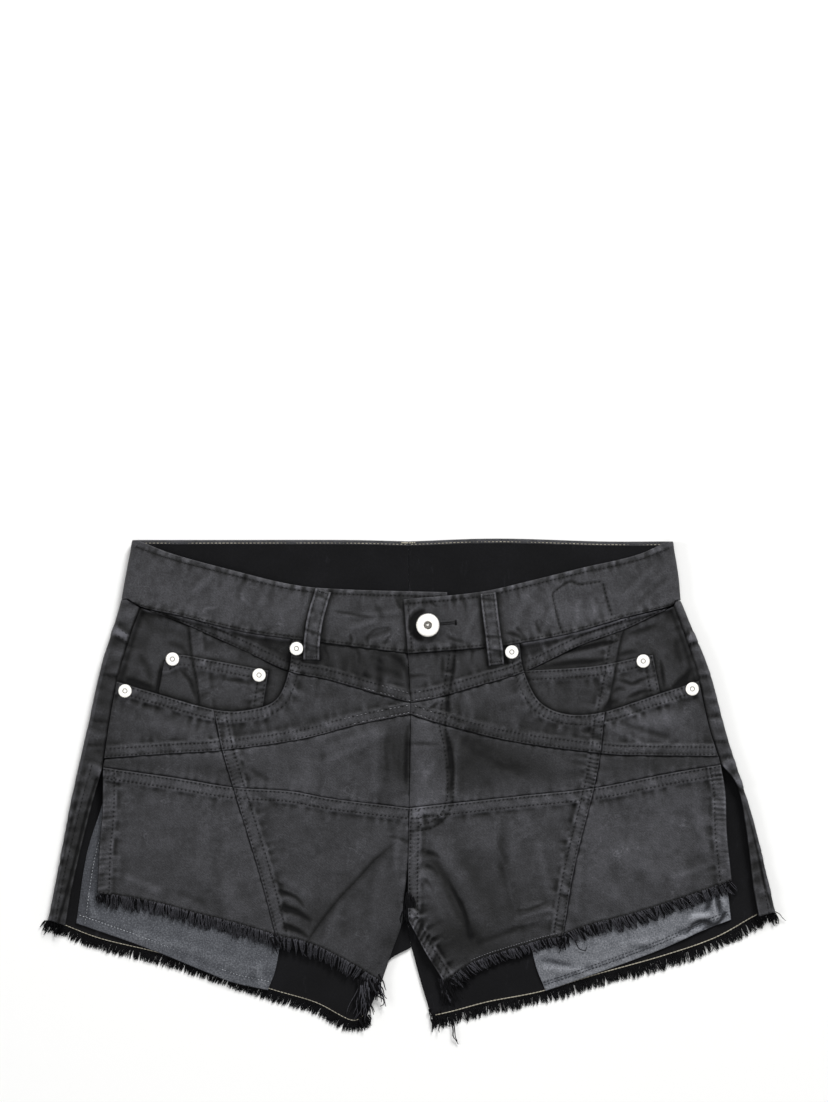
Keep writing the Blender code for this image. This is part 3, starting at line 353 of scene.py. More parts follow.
# The pocket bags under the front hems: the left one is crumpled at its outer corner, with painted shade in
# its creases; a negative shade is a painted highlight on its rolled ridge.
BAG_DENTS = [Dent(*row) for row in (
    (((192.9, -105), (196, -101), (200.2, -97.4), (205.8, -95.3), (213, -98.2), (219.6, -92),
       (221.6, -84.2)), 0.9, 1.1, 4.2), (((214.2, -75.2), (216, -84.2), (219, -92.8)), 0.6, 1.3, 3.4),
    (((203, -103.2), (208, -99.8), (214, -101.4)), 0.5, 1, 2.6),
    (((206, -89), (209.6, -84), (211, -78)), 0.5, 1.5, 2.4),
    (((88.5, -120.4), (96.6, -122.7), (115.8, -127.5)), 0.3, 1.2, 1.6),
    (((150, -108), (156, -113), (170, -114)), 0.3, 1.4, 1),
    (((196, -92.6), (202, -91), (207, -92.4)), -0.5, 1.6, -1.6),
)]
BAG_CREASES = [Fold(*row) for row in (
    (198, -94, 207, -92, 0.7, 2.2), (208, -92, 216, -94, 0.7, 2.2), (212, -80, 214, -88, 0.8, 1.8),
    (219, -80, 222, -90, 0.8, 1.8), (186, -108, 197, -106, 0.9, 2), (198, -102, 212, -102, 0.8, 2),
    (214, -101, 222, -96, 0.9, 1.8), (95, -128, 122, -131, 0.8, 2), (150, -112, 178, -108, 0.4, 3),
    (-226, -70, -221, -92, 0.5, 2.6), (-190, -106, -150, -116, 0.35, 4), (-140, -120, -112, -128, 0.35, 4),
    (-106, -128, -104, -140, 0.6, 2.4),
)]
# Paler or, where amount is negative, darker places in the coating: partly its own uneven tone, partly painted
# light and shade. The third is painted shade in the hollow round the button; the fourth and those just under
# the waistband are its painted shadow.
Patch = namedtuple("Patch", "x y reach_x reach_y amount")
PATCHES = [Patch(*row) for row in (
    (-10, 20, 12, 40, -0.5), (12, 14, 14, 32, 0.62), (10, 110.5, 10, 10, -0.8), (-14, 86, 15, 9, -0.7),
    (6.5, -20, 5, 5, 0.7), (-40, 66, 46, 14, -0.22), (-64, 96, 22, 10, -0.25), (84, 20, 50, 12, -0.18),
    (174, 13, 34, 5, -0.28), (-60, -124, 40, 10, 0), (46, -112, 40, 12, -0.65), (-241, -80, 11, 26, -0.8),
    (118, 62, 20, 12, -0.25), (45, 20, 34, 20, -0.95), (46, 78, 30, 14, -0.4), (-40, 84, 40, 12, -0.75),
    (40, 50, 30, 12, -0.35), (-14, 56, 20, 14, -0.2), (112, 34, 22, 12, -0.3), (170, 42, 26, 14, 0.25),
    (-70, 4, 60, 14, 0.1), (-185, 60, 20, 16, -0.2), (-185, 14, 30, 6, -0.3), (-120, 8, 22, 6, -0.5),
    (50, -78, 44, 34, -0.5), (174, -36, 44, 34, 0.22), (130, -60, 8, 36, 0.2), (-44, -90, 22, 30, -0.1),
    (-70, -92, 12, 12, -0.5), (-20, -100, 14, 20, -0.15), (30, -112, 16, 26, -0.4),
    (130, 120, 60, 20, 0.3), (-120, 132, 60, 16, 0.18), (175, 20, 40, 6, -0.45), (100, 8, 28, 8, -0.45),
    (-230, -40, 14, 60, -0.9), (242, -50, 12, 50, -0.6), (-214, 60, 10, 50, -0.75),
    (206, 60, 8, 50, -0.35),
)]
RIVETS = ("rivet_1", "rivet_2", "rivet_3", "rivet_4", "rivet_5", "rivet_6", "rivet_7")

SIDES = {"R": 0, "L": 1}
OUTWARD = {"R": -1.0, "L": 1.0}


# ---------------------------------------------------------------- lines in plan

class Line:
    """A smooth line through points in plan, read by its length from 0 to 1."""

    def __init__(self, points, smooth=8):
        points = np.array(points, float)
        if smooth and len(points) > 2:
            points = through(points, smooth)
        steps = np.linalg.norm(np.diff(points, axis=0), axis=1)
        self.points = points
        self.length = steps.sum()
        self.at = np.concatenate([[0.0], np.cumsum(steps)]) / self.length

    def __call__(self, u):
        return np.stack([np.interp(u, self.at, self.points[:, k]) for k in (0, 1)], axis=-1)

    def nearest(self, point):
        u = np.linspace(0.0, 1.0, 801)
        return u[np.argmin(np.linalg.norm(self(u) - np.array(point), axis=1))]

    def part(self, first, last, steps=60):
        """The stretch between the stations nearest to two points."""
        return Line(self(np.linspace(self.nearest(first), self.nearest(last), steps)), smooth=0)

    def measure(self, x, y):
        """How far along the line each point lies, and how far to the left of it, in mm."""
        count = max(3, int(self.length / 1.5))
        line = self(np.linspace(0.0, 1.0, count + 1))
        run = np.diff(line, axis=0)
        step = self.length / count
        px, py = np.ravel(x), np.ravel(y)
        nearest = np.concatenate([
            np.argmin((px[at:at + 4096, None] - line[:, 0]) ** 2
                      + (py[at:at + 4096, None] - line[:, 1]) ** 2, axis=1)
            for at in range(0, len(px), 4096)])
        found = None
        for k in (np.clip(nearest - 1, 0, count - 1), np.clip(nearest, 0, count - 1)):
            dx, dy = px - line[k, 0], py - line[k, 1]
            share = np.clip((dx * run[k, 0] + dy * run[k, 1]) / (run[k] ** 2).sum(axis=1), 0.0, 1.0)
            away = np.hypot(dx - share * run[k, 0], dy - share * run[k, 1])
            left = np.where(run[k, 0] * dy - run[k, 1] * dx >= 0.0, 1.0, -1.0)
            here = np.stack([(k + share) * step, away * left])
            found = here if found is None else np.where(away < np.abs(found[1]), here, found)
        return found[0].reshape(np.shape(x)), found[1].reshape(np.shape(x))


def through(points, steps):
    """Catmull-Rom points through the given ones."""
    padded = np.vstack([2 * points[0] - points[1], points, 2 * points[-1] - points[-2]])
    t = np.linspace(0.0, 1.0, steps, endpoint=False)[:, None]
    runs = []
    for a, b, c, d in zip(padded, padded[1:], padded[2:], padded[3:]):
        runs.append(0.5 * (2 * b + (c - a) * t + (2 * a - 5 * b + 4 * c - d) * t**2
                           + (3 * b - a - 3 * c + d) * t**3))
    return np.vstack([*runs, points[-1:]])


def joined(*lines):
    return Line(np.vstack([lines[0].points] + [line.points[1:] for line in lines[1:]]), smooth=0)


def straight(first, last):
    return Line(np.array([first, last], float), smooth=0)


def heading(line, u, near):
    """Unit steps along a line at the given lengths, and square to it, to its left."""
    run = line(np.clip(u + near, 0, 1)) - line(np.clip(u - near, 0, 1))
    run /= np.maximum(np.linalg.norm(run, axis=-1, keepdims=True), 1e-9)
    return run, np.stack([-run[..., 1], run[..., 0]], axis=-1)


def side_of(line, point):
    """1 where a point lies to the left of the line, and -1 where it lies to its right."""
    away = line.measure(np.array([point[0]]), np.array([point[1]]))[1][0]
    return 1.0 if away >= 0.0 else -1.0


def beside(line, middle, x, y):
    """Distances along a line and away from it, positive on the side where middle lies."""
    along, away = line.measure(x, y)
    return along, away * side_of(line, middle)


def seam(name, side):
    column = 2 * SIDES[side]
    return Line([row[column:column + 2] for row in SEAMS[name]])


# ---------------------------------------------------------------- heights

def smooth_step(value):
    value = np.clip(value, 0.0, 1.0)
    return value * value * (3.0 - 2.0 * value)


def noise(u, v, seed):
    """Smooth uneven values from -1 to 1 over a plane, about one swell to a unit."""
    lattice = np.random.RandomState(seed).uniform(-1.0, 1.0, (61, 61))
    low_u, low_v = np.floor(u), np.floor(v)
    su, sv = smooth_step(u - low_u), smooth_step(v - low_v)
    i, j = low_u.astype(int) % 61, low_v.astype(int) % 61
    ni, nj = (i + 1) % 61, (j + 1) % 61
    return ((lattice[i, j] * (1 - su) + lattice[ni, j] * su) * (1 - sv)
            + (lattice[i, nj] * (1 - su) + lattice[ni, nj] * su) * sv)


def laid(folds, x, y):
    """What folds add to the height of the cloth."""
    total = np.zeros(np.shape(x))
    for fold in folds:
        run = np.array([fold.end_x - fold.start_x, fold.end_y - fold.start_y], float)
        length = np.linalg.norm(run)
        run /= length
        along = (x - fold.start_x) * run[0] + (y - fold.start_y) * run[1]
        across = (y - fold.start_y) * run[0] - (x - fold.start_x) * run[1]
        over = np.clip(np.abs(along - length / 2) - length / 2, 0.0, None)
        total += fold.rise * np.exp(-(across / fold.reach) ** 2 - (over / (1.4 * fold.reach)) ** 2)
    return total


def sharply_folded(x, y):
    """What sharp folds add to the height of the cloth, and the painted shade where they roll under."""
    height, shade = np.zeros(np.shape(x)), np.zeros(np.shape(x))
    for line, ledge in zip(LEDGE_LINES, LEDGES):
        if not within_reach(line, x, y, 4.0 * ledge.reach):
            continue
        along, away = line.measure(x, y)
        clear = smooth_step(along / (0.3 * line.length)) * smooth_step((line.length - along) / 5.0 + 0.5)
        high = np.clip(-away, 0.0, None)
        roll = 0.25 + 0.75 * np.sin(0.5 * math.pi * np.clip(high / ledge.roll, 0.0, 1.0))
        height += ledge.rise * clear * roll * np.exp(-high / ledge.reach) * smooth_step(0.5 - away / 0.8)
        shade += ledge.shade * clear * np.exp(-high / (1.1 * ledge.roll)) * smooth_step(1.0 - away / 0.5)
    return height, shade


def dented(x, y, dents):
    """What dents take from the height of the cloth, and the painted shade in them."""
    height, shade = np.zeros(np.shape(x)), np.zeros(np.shape(x))
    for line, dent in dents:
        if not within_reach(line, x, y, 4.0 * dent.reach):
            continue
        along, away = line.measure(x, y)
        left = np.clip(1.0 - along / line.length, 0.0, 1.0)
        full = np.sqrt(left) if dent.taper else np.sin(math.pi * left) ** 0.6
        width = dent.reach * (0.35 + 0.65 * full)
        dip = full * np.exp(-(away / width) ** 2)
        height -= 0.7 * dent.depth * dip
        shade += dent.shade * dip
    return height, shade


def drawn(dents):
    return [(Line(dent.points), dent) for dent in dents]


def within_reach(line, x, y, reach):
    """Whether any of the points can lie within reach of the line."""
    low, high = line.points.min(axis=0) - reach, line.points.max(axis=0) + reach
    return np.max(x) > low[0] and np.min(x) < high[0] and np.max(y) > low[1] and np.min(y) < high[1]


def flat_at(level):
    """A surface at one height."""
    return lambda x, y: np.full(np.shape(x), level)


def loft(y):
    """Height of the front's outer surface, without folds."""
    down = (LOFT_TOP_Y - np.asarray(y, float)) / (LOFT_TOP_Y - LOFT_BOTTOM_Y)
    return WAIST_LOFT + (HEM_LOFT - WAIST_LOFT) * smooth_step(down)


def unevenness(x, y):
    """How worn cloth lies when it is smoothed by hand: never quite flat."""
    return (0.36 * noise(x / 27.0, y / 31.0, 1) + 0.20 * noise(x / 9.0, y / 11.0, 2)
            + 0.07 * noise(x / 3.6, y / 3.9, 3))


INSEAMS = {side: seam("front_inseam", side) for side in SIDES}
LEDGE_LINES = [Line(ledge.points) for ledge in LEDGES]
PANEL_DENTS, WAISTBAND_DENTS, CHAMBRAY_DENTS = drawn(DENTS), drawn(BAND_DENTS), drawn(BAG_DENTS)


def front_level(x, y):
    """The front's outer surface, before any seam is sewn in it."""
    level = loft(y) + laid(FOLDS, x, y)
    drop = np.zeros(np.shape(x))
    for line in INSEAMS.values():
        apart = np.abs(line.measure(x, y)[1])
        drop = np.maximum(drop, (1.0 - smooth_step(apart / 16.0)) * (loft(y) - INSEAM_LOFT))
    return (level - drop + laid(CREASES, x, y) + sharply_folded(x, y)[0] + dented(x, y, PANEL_DENTS)[0]
            + unevenness(x, y))


def fold_shade(x, y):
    return sharply_folded(x, y)[1] + dented(x, y, PANEL_DENTS)[1]


# ---------------------------------------------------------------- sewing

# A run of sewing on a piece. The cloth stands up over width beside the line, and rows of stitches
# run at those distances from it. The puckers across it lie pitch apart and lean by slant.
Sewn = namedtuple("Sewn", "line width rows rise rope pitch slant", defaults=(STITCH_PITCH, 0.12))


def felled(line, width=FELL_WIDTH, rows=(1.5, 6.6), rise=FELL_RISE, rope=1.0, pitch=STITCH_PITCH,
           slant=0.12):
    return Sewn(line, width, rows, rise, rope, pitch, slant)


def even_pitch(length, pitch):
    """The pitch that fits whole stitches into a length."""
    return length / max(1, int(length / pitch))


def sewn_relief(sewn, along, away, seed):
    """A band of doubled cloth: folded edge, ropy puckers between the stitches, pulled cloth beyond."""
    on = smooth_step((away + 0.1) / 0.7)
    if sewn.width:
        on = on * (1.0 - smooth_step((away - sewn.width + 0.8) / 2.6))
    rope = noise(along / 5.2 + 0.5 * away / 5.2, away / 10.0, seed)
    walk = along + 0.9 * noise(along / 7.0, along / 70.0, seed + 1)
    ribs = np.abs(np.sin(np.pi * (walk + sewn.slant * away) / sewn.pitch)) - 0.6
    swell = np.clip(0.6 + 0.9 * noise(along / 9.0, along / 90.0, seed + 2), 0.0, 1.6)
    relief = np.zeros(np.shape(along))
    if sewn.width:
        relief += on * (sewn.rise + sewn.rope * (0.30 * rope + 0.26 * swell * ribs))
        relief += 0.12 * np.exp(-((away - 0.9) / 0.6) ** 2)
        past = np.clip(away - sewn.width, 0.0, None)
        relief += 0.42 * sewn.rope * (away > 0) * np.exp(-past / 5.0) * smooth_step(past / 1.5) \
            * noise(along / 3.0, past / 14.0, seed + 3)
    for row in sewn.rows:
        relief -= 0.20 * np.exp(-((away - row) / 0.65) ** 2)
        if not sewn.width:
            relief += 0.30 * sewn.rope * np.exp(-((away - row) / 3.0) ** 2) * noise(
                along / 3.0, away / 8.0, seed + 4)
    return relief


def row_shading(sewn, along, away):
    """Painted shade of a row of stitches: dark where the thread pulls the cloth in, a painted highlight on
    the cloth between, and dark in the puckers' troughs.
    """
    marks = np.zeros(np.shape(along))
    beat = np.cos(math.tau * along / even_pitch(sewn.line.length, STITCH_PITCH))
    for row in sewn.rows:
        marks += np.exp(-((away - row) / 0.75) ** 2) * (-0.40 + 0.48 * beat)
    if sewn.width:
        walk = along + 0.9 * noise(along / 7.0, along / 70.0, 5)
        between = smooth_step((away - 0.8) / 0.8) * smooth_step((sewn.width - 0.6 - away) / 0.8)
        swell = np.clip(0.6 + 0.9 * noise(along / 9.0, along / 90.0, 6), 0.0, 1.6)
        marks -= 0.20 * sewn.rope * swell * between * np.exp(
            -(np.sin(np.pi * (walk + sewn.slant * away) / sewn.pitch) / 0.45) ** 2)
    return marks


def tucked_relief(along, away, seed):
    """Cloth that goes down under the folded edge of its neighbour."""
    down = -(0.30 + 0.20 * noise(along / 34.0, along / 200.0, seed + 5)) * (1.0 - smooth_step(away / 1.5))
    return down + 0.34 * np.exp(-np.abs(away) / 5.0) * noise(along / 3.1, away / 15.0, seed)


def edge_fall(grid, radius, depth):
    """How far the surface rounds down towards the grid's own edges."""
    nearest = np.full(grid.shape[:2], np.inf)
    for axis in (0, 1):
        total = np.cumsum(np.linalg.norm(np.diff(grid, axis=axis), axis=-1), axis=axis)
        zero = np.zeros_like(np.take(total, [0], axis=axis))
        from_start = np.concatenate([zero, total], axis=axis)
        nearest = np.minimum(nearest, from_start)
        nearest = np.minimum(nearest, np.take(from_start, [-1], axis=axis) - from_start)
    share = np.clip(1.0 - nearest / radius, 0.0, 1.0)
    return depth * (1.0 - np.sqrt(1.0 - share ** 2))


# ---------------------------------------------------------------- meshes

def quads(index, flip):
    corners = [index[:-1, :-1], index[:-1, 1:], index[1:, 1:], index[1:, :-1]]
    if flip:
        corners = corners[::-1]
    return np.stack([np.ravel(corner) for corner in corners], axis=1).tolist()


def around(index):
    return np.concatenate([index[0, :-1], index[:-1, -1], index[-1, :0:-1], index[:0:-1, 0]])


def shell(name, outer, inner, flip, finishes, tone, raw_turn=0):
    """A closed wall of cloth between an outer grid and an inner one, which may be coarser.

    finishes are the materials of the outside and the inside. raw_turn is how many rows of the inside's
    first edge still show the outside's finish, where the cloth is turned over it.
    """
    rows, columns = outer.shape[:2]
    every = (rows - 1) // (inner.shape[0] - 1)
    top = np.arange(rows * columns).reshape(rows, columns)
    low = rows * columns + np.arange(inner.shape[0] * inner.shape[1]).reshape(inner.shape[:2])
    faces = quads(top, flip)
    outside = len(faces)
    faces += quads(low, not flip)
    inside = len(faces)
    ring, under = around(top), around(low)
    for k in range(len(under)):
        run = [int(ring[(k * every + m) % len(ring)]) for m in range(every + 1)][::-1]
        face = run + [int(under[k]), int(under[(k + 1) % len(under)])]
        faces.append(face[::-1] if flip else face)
    points = np.vstack([outer.reshape(-1, 3), inner.reshape(-1, 3)])
    points = (points + np.array([CENTRE_X, CENTRE_Y, 0.0])) * MM
    mesh = bpy.data.meshes.new(name)
    mesh.from_pydata(points.tolist(), [], faces)
    for finish in finishes:
        mesh.materials.append(finish)
    if len(finishes) > 1:
        slots = np.zeros(len(faces), int)
        slots[outside:inside] = 1
        slots[outside:outside + raw_turn * (inner.shape[1] - 1)] = 0
        mesh.polygons.foreach_set("material_index", slots)
    values = np.concatenate([np.ravel(tone), np.ravel(tone[::every, ::every])])
    # The tone attribute: the coating's own tone, with painted light and painted shade added to it.
    mesh.attributes.new("tone", "FLOAT", "POINT").data.foreach_set("value", values)
    mesh.shade_smooth()
    mesh.set_sharp_from_angle(angle=math.radians(62))
    return placed(name, mesh)


def placed(name, mesh):
    piece = bpy.data.objects.new(name, mesh)
    bpy.context.scene.collection.objects.link(piece)
    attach(piece, "root")
    return piece


def tubes(paths, radii, sides):
    """Points and faces of closed tubes: paths is runs by rings by 3, radii is runs by rings."""
    runs, rings = paths.shape[:2]
    ahead = np.gradient(paths, axis=1)
    ahead /= np.maximum(np.linalg.norm(ahead, axis=2, keepdims=True), 1e-9)
    across = np.cross(ahead, np.array([0.05, 0.12, 0.99]))
    across /= np.maximum(np.linalg.norm(across, axis=2, keepdims=True), 1e-9)
    up = np.cross(across, ahead)
    angles = np.arange(sides) * math.tau / sides
    ring = (across[:, :, None] * np.cos(angles)[:, None] + up[:, :, None] * np.sin(angles)[:, None])
    points = paths[:, :, None] + ring * radii[:, :, None, None]
    index = np.arange(runs * rings * sides).reshape(runs, rings, sides)
    turn = np.roll(index, -1, axis=2)
    walls = np.stack([index[:, :-1], turn[:, :-1], turn[:, 1:], index[:, 1:]], axis=-1).reshape(-1, 4)
    caps = index[:, 0, ::-1].tolist() + index[:, -1].tolist()
    return points.reshape(-1, 3), walls.tolist() + caps


def joined_mesh(name, *groups):
    """One piece from groups of parts, each a finish with its sets of points and faces."""
    points, faces, start, slots = [], [], 0, []
    for slot, (_, parts) in enumerate(groups):
        for some_points, some_faces in parts:
            points.append(some_points)
            faces += [[corner + start for corner in face] for face in some_faces]
            slots += [slot] * len(some_faces)
            start += len(some_points)
    mesh = bpy.data.meshes.new(name)
    moved = (np.vstack(points) + np.array([CENTRE_X, CENTRE_Y, 0.0])) * MM
    mesh.from_pydata(moved.tolist(), [], faces)
    for finish, _ in groups:
        mesh.materials.append(finish)
    mesh.polygons.foreach_set("material_index", slots)
    mesh.shade_smooth()
    return placed(name, mesh)


def turned_metal(name, profile, x, y, z, segments, groove):
    """A turned piece: the profile runs from the crown's middle outwards and back under, in mm.

    groove is the profile's first and last row of the sunk ring, which gets a darker nickel as painted shade.
    """
    profile = np.array(profile, float)
    angles = np.arange(segments) * math.tau / segments
    rings = np.array([[(r * math.cos(a), r * math.sin(a), h) for a in angles] for r, h in profile[1:-1]])
    points = np.vstack([rings.reshape(-1, 3), [(0, 0, profile[0][1])], [(0, 0, profile[-1][1])]])
    index = np.arange(len(rings) * segments).reshape(len(rings), segments)
    turn = np.roll(index, -1, axis=1)
    faces = np.stack([index[:-1], index[1:], turn[1:], turn[:-1]], axis=-1).reshape(-1, 4).tolist()
    crown, foot = len(points) - 2, len(points) - 1
    faces += [[crown, int(a), int(b)] for a, b in zip(index[0], turn[0])]
    faces += [[foot, int(b), int(a)] for a, b in zip(index[-1], turn[-1])]
    mesh = bpy.data.meshes.new(name)
    mesh.from_pydata(((points + np.array([x, y, z])) * MM).tolist(), [], faces)
    mesh.materials.append(NICKEL)
    mesh.materials.append(GROOVE_SHADE_NICKEL)
    slots = np.zeros(len(faces), int)
    slots[(groove[0] - 1) * segments:(groove[1] - 1) * segments] = 1
    mesh.polygons.foreach_set("material_index", slots)
    mesh.shade_smooth()
    mesh.set_sharp_from_angle(angle=math.radians(38))
    return placed(name, mesh)


# ---------------------------------------------------------------- stitches

def within(outline, x, y):
    """Whether each point lies inside a closed outline."""
    inside = np.zeros(np.shape(x), bool)
    for (ax, ay), (bx, by) in zip(outline, np.roll(outline, -1, axis=0)):
        crosses = (ay > y) != (by > y)
        with np.errstate(divide="ignore", invalid="ignore"):
            at = (bx - ax) * (y - ay) / (by - ay) + ax
        inside ^= crosses & (x < at)
    return inside


def rubbed(x, y):
    """Where the thread's black has rubbed off: low on the bands beside the centre front."""
    inside = ((x + 19.0) / 38.0) ** 2 + ((y - 55.0) / 15.0) ** 2 < 1.0
    return inside & (noise(x / 3.0, y / 3.0, 87) > -0.35)


def stitch_row(line, offset, height, outline=None, start=0.0, end=1.0, pitch=STITCH_PITCH,
               length=STITCH_LENGTH, radius=THREAD_RADIUS, sunk=0.06, worn=None):
    """Stitches beside a line: each one is a short thread that comes up at one end and goes down again."""
    count = max(1, int(line.length * (end - start) / pitch))
    reach = length / line.length / 2
    middle = start + (np.arange(count) + 0.5) * (end - start) / count
    share = np.linspace(-1.0, 1.0, 5)
    u = np.clip(middle[:, None] + reach * share, 0.0, 1.0)
    plan = line(u) + offset * heading(line, u, 0.002)[1]
    if outline is not None:
        plan = plan[np.all([within(outline, plan[:, k, 0], plan[:, k, 1]) for k in (0, 2, 4)], axis=0)]
    if worn is not None:
        plan = plan[rubbed(plan[:, 2, 0], plan[:, 2, 1]) == worn]
    if not len(plan):
        return []
    level = height(plan[..., 0], plan[..., 1])
    level = level - sunk - np.array([0.42, 0.05, 0.0, 0.05, 0.42])
    wide = radius * np.array([0.55, 0.95, 1.0, 0.95, 0.55])
    return [tubes(np.dstack([plan, level]), np.tile(wide, (len(plan), 1)), 6)]


# ---------------------------------------------------------------- panels

def stations(length, step, ends=WRAPPED_ENDS, by_threes=False):
    """Where grid lines run along an edge: close at its ends, and in number by threes where asked."""
    clear = length - 2 * ends[-1]
    count = max(1, round(clear / step))
    if by_threes:
        count += -(count + 6) % 3
    inner = ends[-1] + clear * np.arange(1, count) / count
    return np.array([*ends, *inner, *(length - np.array(ends[::-1]))]) / length


def patch(edges, step):
    """Plan points between the top, bottom, outer and inner seams."""
    top, bottom, left, right = edges
    s = stations(0.5 * (top.length + bottom.length), step, PANEL_ENDS, True)
    t = stations(0.5 * (left.length + right.length), step, PANEL_ENDS, True)
    over, under = top(s)[None], bottom(s)[None]
    first, last = left(t)[:, None], right(t)[:, None]
    s, t = s[None, :, None], t[:, None, None]
    flat = ((1 - s) * (1 - t) * top(0.0) + s * (1 - t) * top(1.0)
            + (1 - s) * t * bottom(0.0) + s * t * bottom(1.0))
    plan = (1 - t) * over + t * under + (1 - s) * first + s * last - flat
    parted = plan.copy()
    for edge, near in ((0, 1), (-1, -2)):
        for here, there, put in ((plan[edge], plan[near], parted[edge]),
                                 (plan[:, edge], plan[:, near], parted[:, edge])):
            run = there - here
            put += SEAM_GAP / 2 * run / np.maximum(np.linalg.norm(run, axis=1, keepdims=True), 1e-6)
    return parted


def softened(values, reaches):
    """Values blurred over the given numbers of grid steps, one after the other."""
    for reach in reaches:
        wide = np.pad(values, reach, mode="edge")
        across = (wide[:, :-2 * reach] + 2 * wide[:, reach:-reach] + wide[:, 2 * reach:]) / 4
        values = (across[:-2 * reach] + 2 * across[reach:-reach] + across[2 * reach:]) / 4
    return values


def wear_and_painted_shade(height):
    """Worn coating and painted light and shade from the relief: paler on ridges, from wear and painted light,
    and darker in hollows and under folds, as painted shade.
    """
    near = softened(height, (1,))
    fine = near - softened(near, (1, 2))
    broad = softened(near, (1, 2)) - softened(near, (2, 4, 6, 6))
    worn = RIDGE_WEAR_AND_SHADE * fine + HOLLOW_SHADE * broad
    return np.where(worn > 0.0, 0.55 * worn, worn)


# Tone of the listed patches: partly the coating's own tone, partly painted light and painted shade.
def patch_tone_and_shade(x, y):
    total = np.zeros(np.shape(x))
    for spot in PATCHES:
        ripple = 1.0 + 0.35 * noise(x / 13.0, y / 13.0, 71)
        apart = ((x - spot.x) / spot.reach_x) ** 2 + ((y - spot.y) / spot.reach_y) ** 2
        total += spot.amount * np.exp(-apart * ripple)
    return total


# Painted shade along lines: in seams, under edges and folds, and as shadow cast on a lower piece.
def painted_line_shade(shade_lines, x, y):
    total = np.zeros(np.shape(x))
    for line, reach, depth in shade_lines:
        along, away = line.measure(x, y)
        uneven = 1.0 + 0.35 * noise(along / 4.0, along / 50.0, 83)
        total += depth * uneven * np.exp(-np.abs(away) / reach)
    return total


def boundary(plan):
    """The panel's outline in plan."""
    ring = around(np.arange(plan.shape[0] * plan.shape[1]).reshape(plan.shape[:2]))
    return plan.reshape(-1, 2)[ring]


def cloth_panel(node, side, edges, sewing=(), tucks=(), wall=CLOTH, level=front_level, extra=None,
                finishes=None, slot="coated_denim", step=GRID, thread=None, tone_shift=0.0,
                shade_lines=(), dash=(STITCH_PITCH, STITCH_LENGTH, THREAD_RADIUS)):
    """One cut piece with its seams, and its stitches as a piece on it.

    shade_lines are lines of painted shade, in seams, under edges and beside raised parts, each with its reach
    in mm and its depth of shade.
    dash is the pitch, length and thread radius of the stitches.
    """
    plan = patch(edges, step)
    x, y = plan[..., 0], plan[..., 1]
    middle = plan[plan.shape[0] // 2, plan.shape[1] // 2]
    seed = 100 + 7 * sum(map(ord, node)) + 400 * SIDES[side]

    def height(px, py):
        total = level(px, py)
        for k, sewn in enumerate(sewing):
            total = total + sewn_relief(sewn, *beside(sewn.line, middle, px, py), seed + 11 * k)
        for k, line in enumerate(tucks):
            total = total + tucked_relief(*beside(line, middle, px, py), seed + 151 + k)
        if extra is not None:
            total = total + extra(px, py)
        return total

    base = level(x, y)
    top = height(x, y)
    fall = edge_fall(plan, *PANEL_EDGE)
    # Tone: the patches, with painted light on ridges and painted shade in hollows, at rounded edges, in
    # stitch grooves, along shade lines and in folds.
    tone = wear_and_painted_shade(top) + patch_tone_and_shade(x, y) + tone_shift - 0.6 * fall
    for sewn in sewing:
        tone += row_shading(sewn, *beside(sewn.line, middle, x, y))
    tone -= painted_line_shade(shade_lines, x, y)
    tone -= fold_shade(x, y) if slot == "coated_denim" else dented(x, y, CHAMBRAY_DENTS)[1]
    outer = np.dstack([plan, top - fall])
    under = np.dstack([plan, np.minimum(base, top - fall + 0.3) - wall])[::3, ::3]
    name = f"{node}_{side}"
    piece = shell(f"{name}_cloth", outer, under, side == "R", finishes or (COATED, RAW_INSIDE), tone)
    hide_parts(name)
    rows = {False: [], True: []}
    outline = boundary(plan)
    for sewn in sewing:
        sign = side_of(sewn.line, middle)
        for row in sewn.rows:
            for worn, part in rows.items():
                part += stitch_row(sewn.line, sign * row, height, outline, pitch=dash[0], length=dash[1],
                                   radius=dash[2], worn=worn)
    threads = [(finish, part) for finish, part in ((thread or BLACK_THREAD, rows[False]),
                                                   (RUBBED_THREAD, rows[True])) if part]
    on_it = [joined_mesh(f"{name}_stitches", *threads)] if threads else []
    return height


def beside_loop(side):
    """The shaded cloth on both sides of a belt loop."""
    line = seam("loop_line", side)
    return [(Line(line.points + np.array([half, 0.0]), smooth=0), 1.3, 1.7)
            for half in (-LOOP_WIDTH / 2 - 0.4, LOOP_WIDTH / 2 + 0.4)]


def front_bands(side):
    """The felled bands by the names of their seams. Where the two fronts meet, only the left one has them."""
    leg, centre, width = seam("leg_seam", side), seam("centre_front", side), PRINCESS_WIDTH[side]
    bands = {
        "yoke": felled(seam("yoke_seam", side)),
        "hip": felled(seam("hip_seam", side)),
        "leg": felled(leg, width=8.6, rows=(1.4, 7.4)),
        "mouth": felled(seam("pocket_mouth", side), MOUTH_WIDTH, rows=(1.3, 6.6), rope=2.0),
        "princess": felled(seam("princess", side), width, rows=(1.4, width - 1.6), rope=PRINCESS_ROPE[side]),
        "vent": felled(seam("front_vent", side), VENT_HEM_WIDTH, rows=(8.2,), rise=0.8, rope=1.5, pitch=3.6),
    }
    if side == "L":
        bands["centre"] = felled(centre.part(leg(1.0), centre(1.0)), 8.4, rows=(1.4, 6.8), rope=1.7)
        bands["inseam"] = felled(seam("front_inseam", side), 8.0, rows=(1.6, 6.4), rise=0.8, rope=3.6,
                                 pitch=4.4, slant=0.7)
    return bands


def fly_thickness(x, y):
    """The cloth of the fly lifts the left front inside its curved stitching."""
    _, away = beside(FLY_TOPSTITCH, (10.0, 20.0), x, y)
    return 0.45 * smooth_step((away + 2.0) / 4.0)


